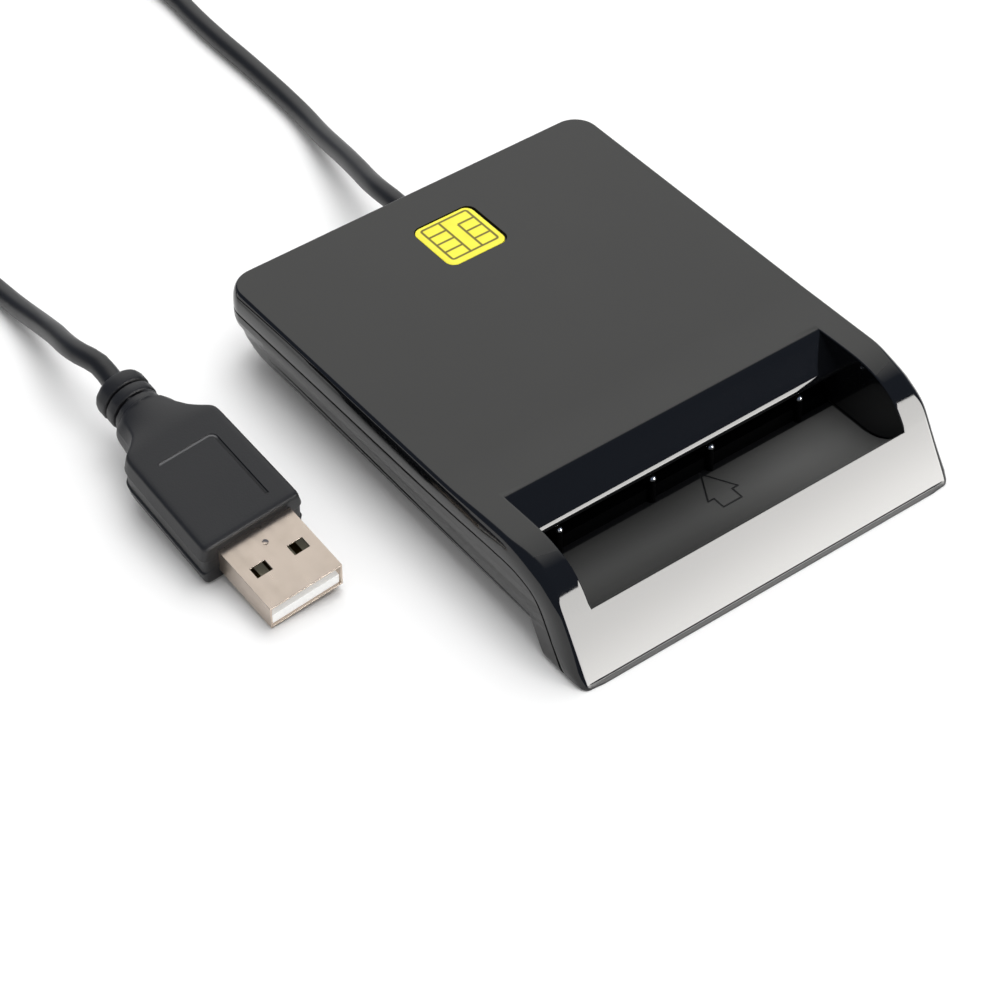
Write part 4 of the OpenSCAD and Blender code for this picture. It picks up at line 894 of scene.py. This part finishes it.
def tint(r, g, b):
    """A display colour from 0 to 255 as the linear colour that renders as it."""
    c = np.array([r, g, b]) / 255.0
    return (*np.where(c <= 0.04045, c / 12.92, ((c + 0.055) / 1.055) ** 2.4).tolist(), 1.0)


def corner_distance(right_of, above, radius):
    """The signed distance to a rounded corner, from how far a point is beyond the corner's two straight edges with
    the radius taken off: the length of what lies beyond both, plus the greater where neither does."""
    out_x, out_y = right_of.most(0.0), above.most(0.0)
    return (out_x * out_x + out_y * out_y).root() + right_of.most(above).least(0.0) - radius


def satin(p, colour, rough):
    """Moulded plastic's colour, roughness and grain height. Both the colour and the gloss have faint broad clouds,
    and the grain is a fine spark-eroded one."""
    at = p.place()
    broad = p.noise(at, 55.0)
    shade_of = p.mix(broad.step(0.3, 0.75), tint(*colour), tint(*[c * 1.12 + 1 for c in colour]))
    return shade_of, (broad - 0.5) * 0.06 + rough, p.noise(at, 5200.0, 2.0)


def satin_plastic(name, colour, rough, grain):
    p = Paint(name)
    shade_of, dull, height = satin(p, colour, rough)
    return p.finish(Base_Color=shade_of, Roughness=dull, Normal=p.bump(height, grain, 0.6))


def cover_plastic():
    """The cover's satin plastic, polished where its mesh marks it and in front of a slanting line across the nose's
    sides. There the grain fades out, and smears and the lip's worn edge vary the gloss."""
    p = Paint("cover_plastic")
    shade_of, dull, fine = satin(p, (26, 26, 25), 0.42)
    x, y, z = p.in_case()
    marked = p.node("ShaderNodeAttribute", {"attribute_name": "polish"}, out=2)
    ahead_of_line = -11.3975 - y + (x.size() - 30.0) * 0.25
    polish = marked.most(ahead_of_line.step(-0.12, 0.12))
    lip = z.step(LIP_Z - 0.05, LIP_Z - 0.12) * y.step(-22.5975, -22.8975)
    shiny = (p.noise(p.place(), 120.0, 4.0) - 0.45) * 0.03 + 0.06 + lip * 0.22
    return p.finish(Base_Color=p.mix(polish, shade_of, tint(10, 11, 13)), Roughness=dull + (shiny - dull) * polish,
                    Normal=p.bump(fine * (1.0 - polish * 0.97), 0.006, 0.6))


def tray_plastic():
    """The tray's satin plastic. The jaw behind the slot's mouth, between the recess's sides and down to the card's
    path, is painted near black and mirror-like as painted shade, so that it and the studs' posts read as the dark
    inside of the case."""
    p = Paint("tray_plastic")
    shade_of, dull, fine = satin(p, (17, 17, 17), 0.3)
    x, y, z = p.in_case()
    # painted shade: everything behind the slot's mouth, studs' posts included, turns near black and metal-like
    jaw = (y + 4.2).step(-0.02, 0.02) * x.size().step(27.68, 27.62) * z.step(-5.7, -5.9) * y.step(49.1025, 48.9025)
    return p.finish(Base_Color=p.mix(jaw, shade_of, tint(5, 5, 6)), Roughness=dull + jaw * 0.3, Metallic=jaw * 0.95,
                    Normal=p.bump(fine, 0.005, 0.6))


def rubber_like(name, colour, rough, grain=0.02):
    """Soft PVC or rubber: a dull skin with a faint uneven bloom."""
    p = Paint(name)
    at = p.place()
    bloom = p.noise(at, 160.0, 4.0)
    return p.finish(Base_Color=p.mix(bloom, tint(*colour), tint(*[min(255, c * 1.25 + 3) for c in colour])),
                    Roughness=(bloom - 0.5) * 0.16 + rough, Normal=p.bump(p.noise(at, 2600.0), grain, 0.5))


def metal(name, colour, rough, brushed=(1.0, 1.0, 1.0), dull=None):
    """Plated metal, with fine lines drawn along one direction and faint tarnish."""
    p = Paint(name)
    at = p.place()
    lines = p.noise(p.vector("MULTIPLY", at, brushed), 900.0, 4.0)
    cloud = p.noise(at, 240.0)
    dull = dull or [c * 0.86 for c in colour]
    return p.finish(Base_Color=p.mix(cloud.step(0.35, 0.8), tint(*colour), tint(*dull)), Metallic=1.0,
                    Roughness=(lines - 0.5) * 0.12 + (cloud - 0.5) * 0.1 + rough, Normal=p.bump(lines, 0.004, 0.4))


def board_paint():
    """Green solder mask over copper: straight tracks on a 1.27 mm raster, that wander a little and break off, show
    through as lighter lines."""
    p = Paint("board_mask")
    at = p.place()
    lane = p.split(at)[0] * 787.4 + p.noise(at, 90.0, 1.0) * 2.0
    track = (lane - lane.floor() - 0.5).size().step(0.16, 0.1)
    copper = track * p.noise(p.vector("MULTIPLY", at, (1.0, 0.25, 1.0)), 420.0, 0.0).step(0.48, 0.52)
    return p.finish(Base_Color=p.mix(copper, tint(18, 66, 40), tint(44, 112, 62)), Roughness=0.32 - copper * 0.06,
                    Normal=p.bump(copper + p.noise(at, 1500.0, 2.0) * 0.2, 0.03, 0.6))


def badge_paint():
    """Yellow enamel with the printed lines of a chip's contact fields: distances to the border and the dividers are
    worked out in the badge's own plane, and the lines are olive and lie slightly deeper."""
    p = Paint("badge_enamel")
    x, y, _ = p.in_case()
    u, v = x - 0.45, y - 48.5
    half_w, half_l, corner_r, line_w = 4.13, 4.05, 0.4, 0.19
    left_x, right_x, row = -0.9, 1.2, 2.03

    def stroke(distance):
        return distance.size().step(line_w + 0.1, line_w - 0.1)

    border = corner_distance(u.size() - (half_w - corner_r), v.size() - (half_l - corner_r), corner_r)
    left = stroke(u - left_x)
    right = stroke(u - right_x) * v.step(row + 0.02, row - 0.02)
    rows = stroke(v).most(stroke(v - row)).most(stroke(v + row))
    rows = rows * u.step(left_x + 0.02, left_x - 0.02).most(u.step(right_x - 0.02, right_x + 0.02))
    ink = stroke(border).most(left.most(right).most(rows) * border.step(0.02, -0.02))
    cloud = p.noise(p.place(), 320.0)
    yellow = p.mix(cloud.step(0.3, 0.8), tint(238, 229, 52), tint(232, 221, 44))
    return p.finish(Base_Color=p.mix(ink, yellow, tint(104, 94, 20)), Normal=p.bump(1.0 - ink, 0.05, 0.7),
                    Roughness=0.34 + ink * 0.15 + (cloud - 0.5) * 0.08)


def grip_paint():
    """The grip's matt black PVC. A thin line is pressed into its top face: along the back of a panel and down its
    right side, with a rounded corner, measured in the plug's own frame. Its back part is painted light as a painted
    highlight, and its right side near black as painted shade."""
    p = Paint("grip_moulding")
    x, y, z = p.in_plug()
    off_line = corner_distance(x - 3.4, y - 26.75, 0.85).size()
    within = x.step(-4.9, -4.75) * y.step(14.6, 14.8) * z.step(3.8, 3.9)
    at = p.place()
    bloom = p.noise(at, 170.0, 4.0)
    matt = p.mix(bloom, tint(22, 22, 24), tint(27, 27, 29))
    # painted highlight and painted shade: the line is painted light along the panel's back and near black down its
    # right side
    pressed = p.mix(y.step(26.3, 27.2), tint(6, 6, 7), tint(96, 96, 98))
    return p.finish(Base_Color=p.mix(off_line.step(0.26, 0.1) * within * 0.85, matt, pressed),
                    Roughness=(bloom - 0.5) * 0.12 + 0.5,
                    Normal=p.bump(p.noise(at, 3600.0) * 0.025 - off_line.step(0.3, 0.08) * within, 0.55, 1.0))


def ramp_paint():
    """The ramp's fine matt finish, with the arrow's outline pressed into it. Its colour is painted lighter towards the
    right, a painted light that evens out the shade from the recess's right wall, and its strip before the jaw is
    painted near black as painted shade. The outline is the least distance to its strokes, each the length from a point
    to the nearest place on a line between two ends."""
    p = Paint("ramp_matt")
    x, y, _ = p.in_case()
    u, v = x - 3.5, y + 3.7
    half = [(0.0, 0.0), (2.7, -4.9), (1.65, -4.9), (1.65, -7.0)]
    corners = half + [(-a, b) for a, b in half[::-1]]
    far = []
    for (ax, ay), (bx, by) in zip(corners[:-1], corners[1:]):
        dx, dy = bx - ax, by - ay
        square = dx * dx + dy * dy
        along = ((u - ax) * (dx / square) + (v - ay) * (dy / square)).most(0.0).least(1.0)
        off_x, off_y = u - ax - along * dx, v - ay - along * dy
        far.append((off_x * off_x + off_y * off_y).root())
    nearest = far[0]
    for distance in far[1:]:
        nearest = nearest.least(distance)
    groove = nearest.step(0.17, 0.07)
    at = p.place()
    broad = p.noise(at, 60.0)
    # painted light: the colour grows lighter towards the right to even out the shade from the recess's right wall
    painted_light_right = p.mix(x.step(-6.0, 26.0), tint(53, 53, 52), tint(80, 80, 79))
    open_part = p.mix(broad.step(0.3, 0.75) * 0.2, painted_light_right, tint(64, 64, 63))
    # painted shade: the ramp's strip just before the jaw is painted near black, where the brow and jaw shade it
    base = p.mix((v + 0.6).step(-0.06, 0.06), open_part, tint(6, 6, 7))
    return p.finish(Base_Color=p.mix(groove, base, tint(16, 16, 17)), Roughness=(broad - 0.5) * 0.05 + 0.55,
                    Normal=p.bump(p.noise(at, 5200.0, 2.0) * 0.03 - groove, 0.2, 0.9))


def tongue_paint():
    """White nylon, painted darker further in by the depth behind the plug's tip as painted shade, and glowing by
    emission, white at the mouth and dim further in, as painted light."""
    p = Paint("tongue_nylon")
    at = p.place()
    # painted shade: the colour darkens with depth behind the plug's tip
    inner = p.in_plug()[1].step(1.6, 3.6)
    cloud = p.noise(at, 300.0)
    white = p.mix(cloud, tint(240, 240, 238), tint(246, 246, 244))
    # painted light: the nylon glows by emission, white at the mouth and dim further in
    return p.finish(Base_Color=p.mix(inner, white, tint(92, 88, 70)), Roughness=(cloud - 0.5) * 0.08 + 0.5,
                    Normal=p.bump(p.noise(at, 5200.0, 2.0), 0.004, 0.6), Emission_Strength=0.4,
                    Emission_Color=p.mix(inner, (1.0, 1.0, 0.98, 1.0), (0.13, 0.125, 0.1, 1.0)))


paints = {
    "cover": cover_plastic(),
    "tray": tray_plastic(),
    "ramp": ramp_paint(),
    "cap": metal("stud_caps", (226, 228, 230), 0.22),
    "badge": badge_paint(),
    "rubber": rubber_like("foot_rubber", (34, 34, 35), 0.7),
    "screw": metal("screw_zinc", (168, 170, 176), 0.32),
    "board": board_paint(),
    "connector": satin_plastic("connector_plastic", (26, 26, 27), 0.5, 0.008),
    "ivory": satin_plastic("socket_nylon", (214, 206, 184), 0.45, 0.006),
    "chip": satin_plastic("chip_epoxy", (34, 34, 36), 0.55, 0.012),
    "tinned": metal("tinned_leads", (196, 198, 202), 0.3),
    "can": metal("crystal_can", (188, 190, 194), 0.22),
    "capacitor": satin_plastic("capacitor_ceramic", (150, 116, 78), 0.4, 0.006),
    "wire_red": rubber_like("wire_red", (176, 28, 26), 0.42, 0.004),
    "wire_white": rubber_like("wire_white", (214, 212, 206), 0.42, 0.004),
    "wire_green": rubber_like("wire_green", (30, 120, 62), 0.42, 0.004),
    "wire_black": rubber_like("wire_black", (28, 28, 30), 0.42, 0.004),
    "cord": rubber_like("cord_jacket", (18, 18, 19), 0.42, 0.01),
    "grip": grip_paint(),
    "insulator": tongue_paint(),
    "plug_metal": metal("plug_nickel", (203, 189, 176), 0.3, (1.0, 0.06, 1.0), (196, 182, 168)),
    # painted shade: the plug's gilt contacts are painted dark olive, as they lie in shade inside the shell
    "plug_gold": metal("plug_contacts_gilt_painted_shade", (104, 90, 52), 0.4),
    "gold": metal("gilt_contacts", (214, 170, 84), 0.24),
}
slots_by_node = {part["node"]: part["material_slot"] for part in frame["record"]["subparts"]}


def dress(obj, slot):
    obj.data.materials.clear()
    obj.data.materials.append(paints[slot])


for name, obj in nodes.items():
    dress(obj, slots_by_node[name])
# the plug's contacts take the gilt that is painted dark as painted shade
dress(nodes["plug_contacts"], "plug_gold")

for obj, slot, replaced in ((cover, "cover", ["top_cover"]), (tray, "tray", ["bottom_shell"]),
                            (ramp, "ramp", []), (caps, "cap", []), (badge, "badge", ["chip_badge"]),
                            (grip, "grip", ["plug_grip"]), (shell, "plug_metal", ["plug_shell"]),
                            (tongue, "insulator", ["plug_insulator"]), (dimple, "plug_metal", []),
                            (lead, "cord", ["cord_to_coil", "cord_coil", "cord_to_plug"])):
    dress(obj, slot)
    if replaced:
        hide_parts(*replaced)
    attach(obj, "reader")


def backdrop(name, corners, material):
    """A single quad that is part of the studio and not of the reader."""
    mesh = bpy.data.meshes.new(name)
    mesh.from_pydata([tuple(c) for c in corners], [], [(0, 1, 2, 3)])
    mesh.materials.append(material)
    obj = new_piece(name, mesh)
    return obj


# A pale floor, a little brighter where it is seen, directly or in metal and glass
WHITE = (1.0, 1.0, 1.0, 1.0)
paper = Paint("floor_paper")
seen = paper.ray("Camera").most(paper.ray("Glossy")).most(paper.ray("Transmission"))
paper.finish(Base_Color=paper.mix(seen, (0.6, 0.6, 0.6, 1.0), (0.92, 0.92, 0.92, 1.0)), Roughness=1.0,
             Specular_IOR_Level=0.0)
glow = paper.node("ShaderNodeEmission", None, WHITE, seen * 0.02)
paper.show(paper.node("ShaderNodeAddShader", None, paper.surface, glow))
backdrop("floor", [(-4, -4, 0), (4, -4, 0), (4, 4, 0), (-4, 4, 0)], paper.material)

# The room: plain light on the object, white to the camera, and in mirrors a dark room with one bright side
world = bpy.data.worlds.new("studio")
bpy.context.scene.world = world
world.use_nodes = True
room = Nodes(world.node_tree)
bright_side = room.vector("DOT_PRODUCT", room.node("ShaderNodeTexCoord", out="Generated"), (0.44, 0.62, 0.65))
mirrored = room.mix(bright_side.step(0.72, 0.95), (0.15, 0.18, 0.25, 1.0), (1.35, 1.35, 1.33, 1.0))
plain, dim, white = (room.node("ShaderNodeBackground", None, colour, strength)
                     for colour, strength in ((WHITE, 0.44), (mirrored, 1.0), (WHITE, 1.0)))
inside = room.node("ShaderNodeMixShader", None, room.ray("Glossy"), plain, dim)
room.node("ShaderNodeOutputWorld", None, room.node("ShaderNodeMixShader", None, room.ray("Camera"), inside, white))


def lamp(name, place, width, height, watts):
    """A rectangular lamp that faces the origin and isn't mirrored. Sizes and places are in metres."""
    data = bpy.data.lights.new(name, "AREA")
    data.shape = "RECTANGLE"
    data.size, data.size_y, data.energy = width, height, watts
    obj = new_piece(name, data)
    z = np.array(place) / np.linalg.norm(place)
    x = np.cross([0, 0, 1.0], z)
    x /= np.linalg.norm(x)
    stand(obj, x, np.cross(z, x), z, place)
    obj.visible_camera = obj.visible_glossy = False


lamp("key", (0.46, 0.46, 1.08), 1.2, 1.1, 8.0)
lamp("overhead", (0.06, -0.2, 1.25), 0.9, 0.9, 8.5)

# A card in front to the right that only reflections see, brighter below, with a sloping upper edge
card_far, card_left, card_right = 1.2, -0.28, 0.23
to_right, behind = unit(np.radians(29.0))
ahead, aside = np.array([behind, -to_right, 0.0]), np.array([to_right, behind, 0.0])


def card_corner(along, high):
    """The card's point so far along it and so high."""
    return ahead * card_far + [0, -0.03, high] + along * aside


def card_top(along):
    """The height of the card's upper edge, which rises evenly along it."""
    return 0.68 + 0.61 * (along - 0.042)


card_paint = Paint("front_card")
low = card_paint.split(card_paint.place())[2].step(0.115, 0.07)
card_paint.show(card_paint.node("ShaderNodeEmission", None, (1.0, 0.985, 0.96, 1.0), low * 5.5 + 13.2))
card = backdrop("front_card", [card_corner(card_left, 0.001), card_corner(card_right, 0.001),
                               card_corner(card_right, card_top(card_right)),
                               card_corner(card_left, card_top(card_left))], card_paint.material)
card.visible_camera = card.visible_diffuse = card.visible_shadow = card.visible_transmission = False

bpy.context.scene.view_settings.view_transform = "Standard"
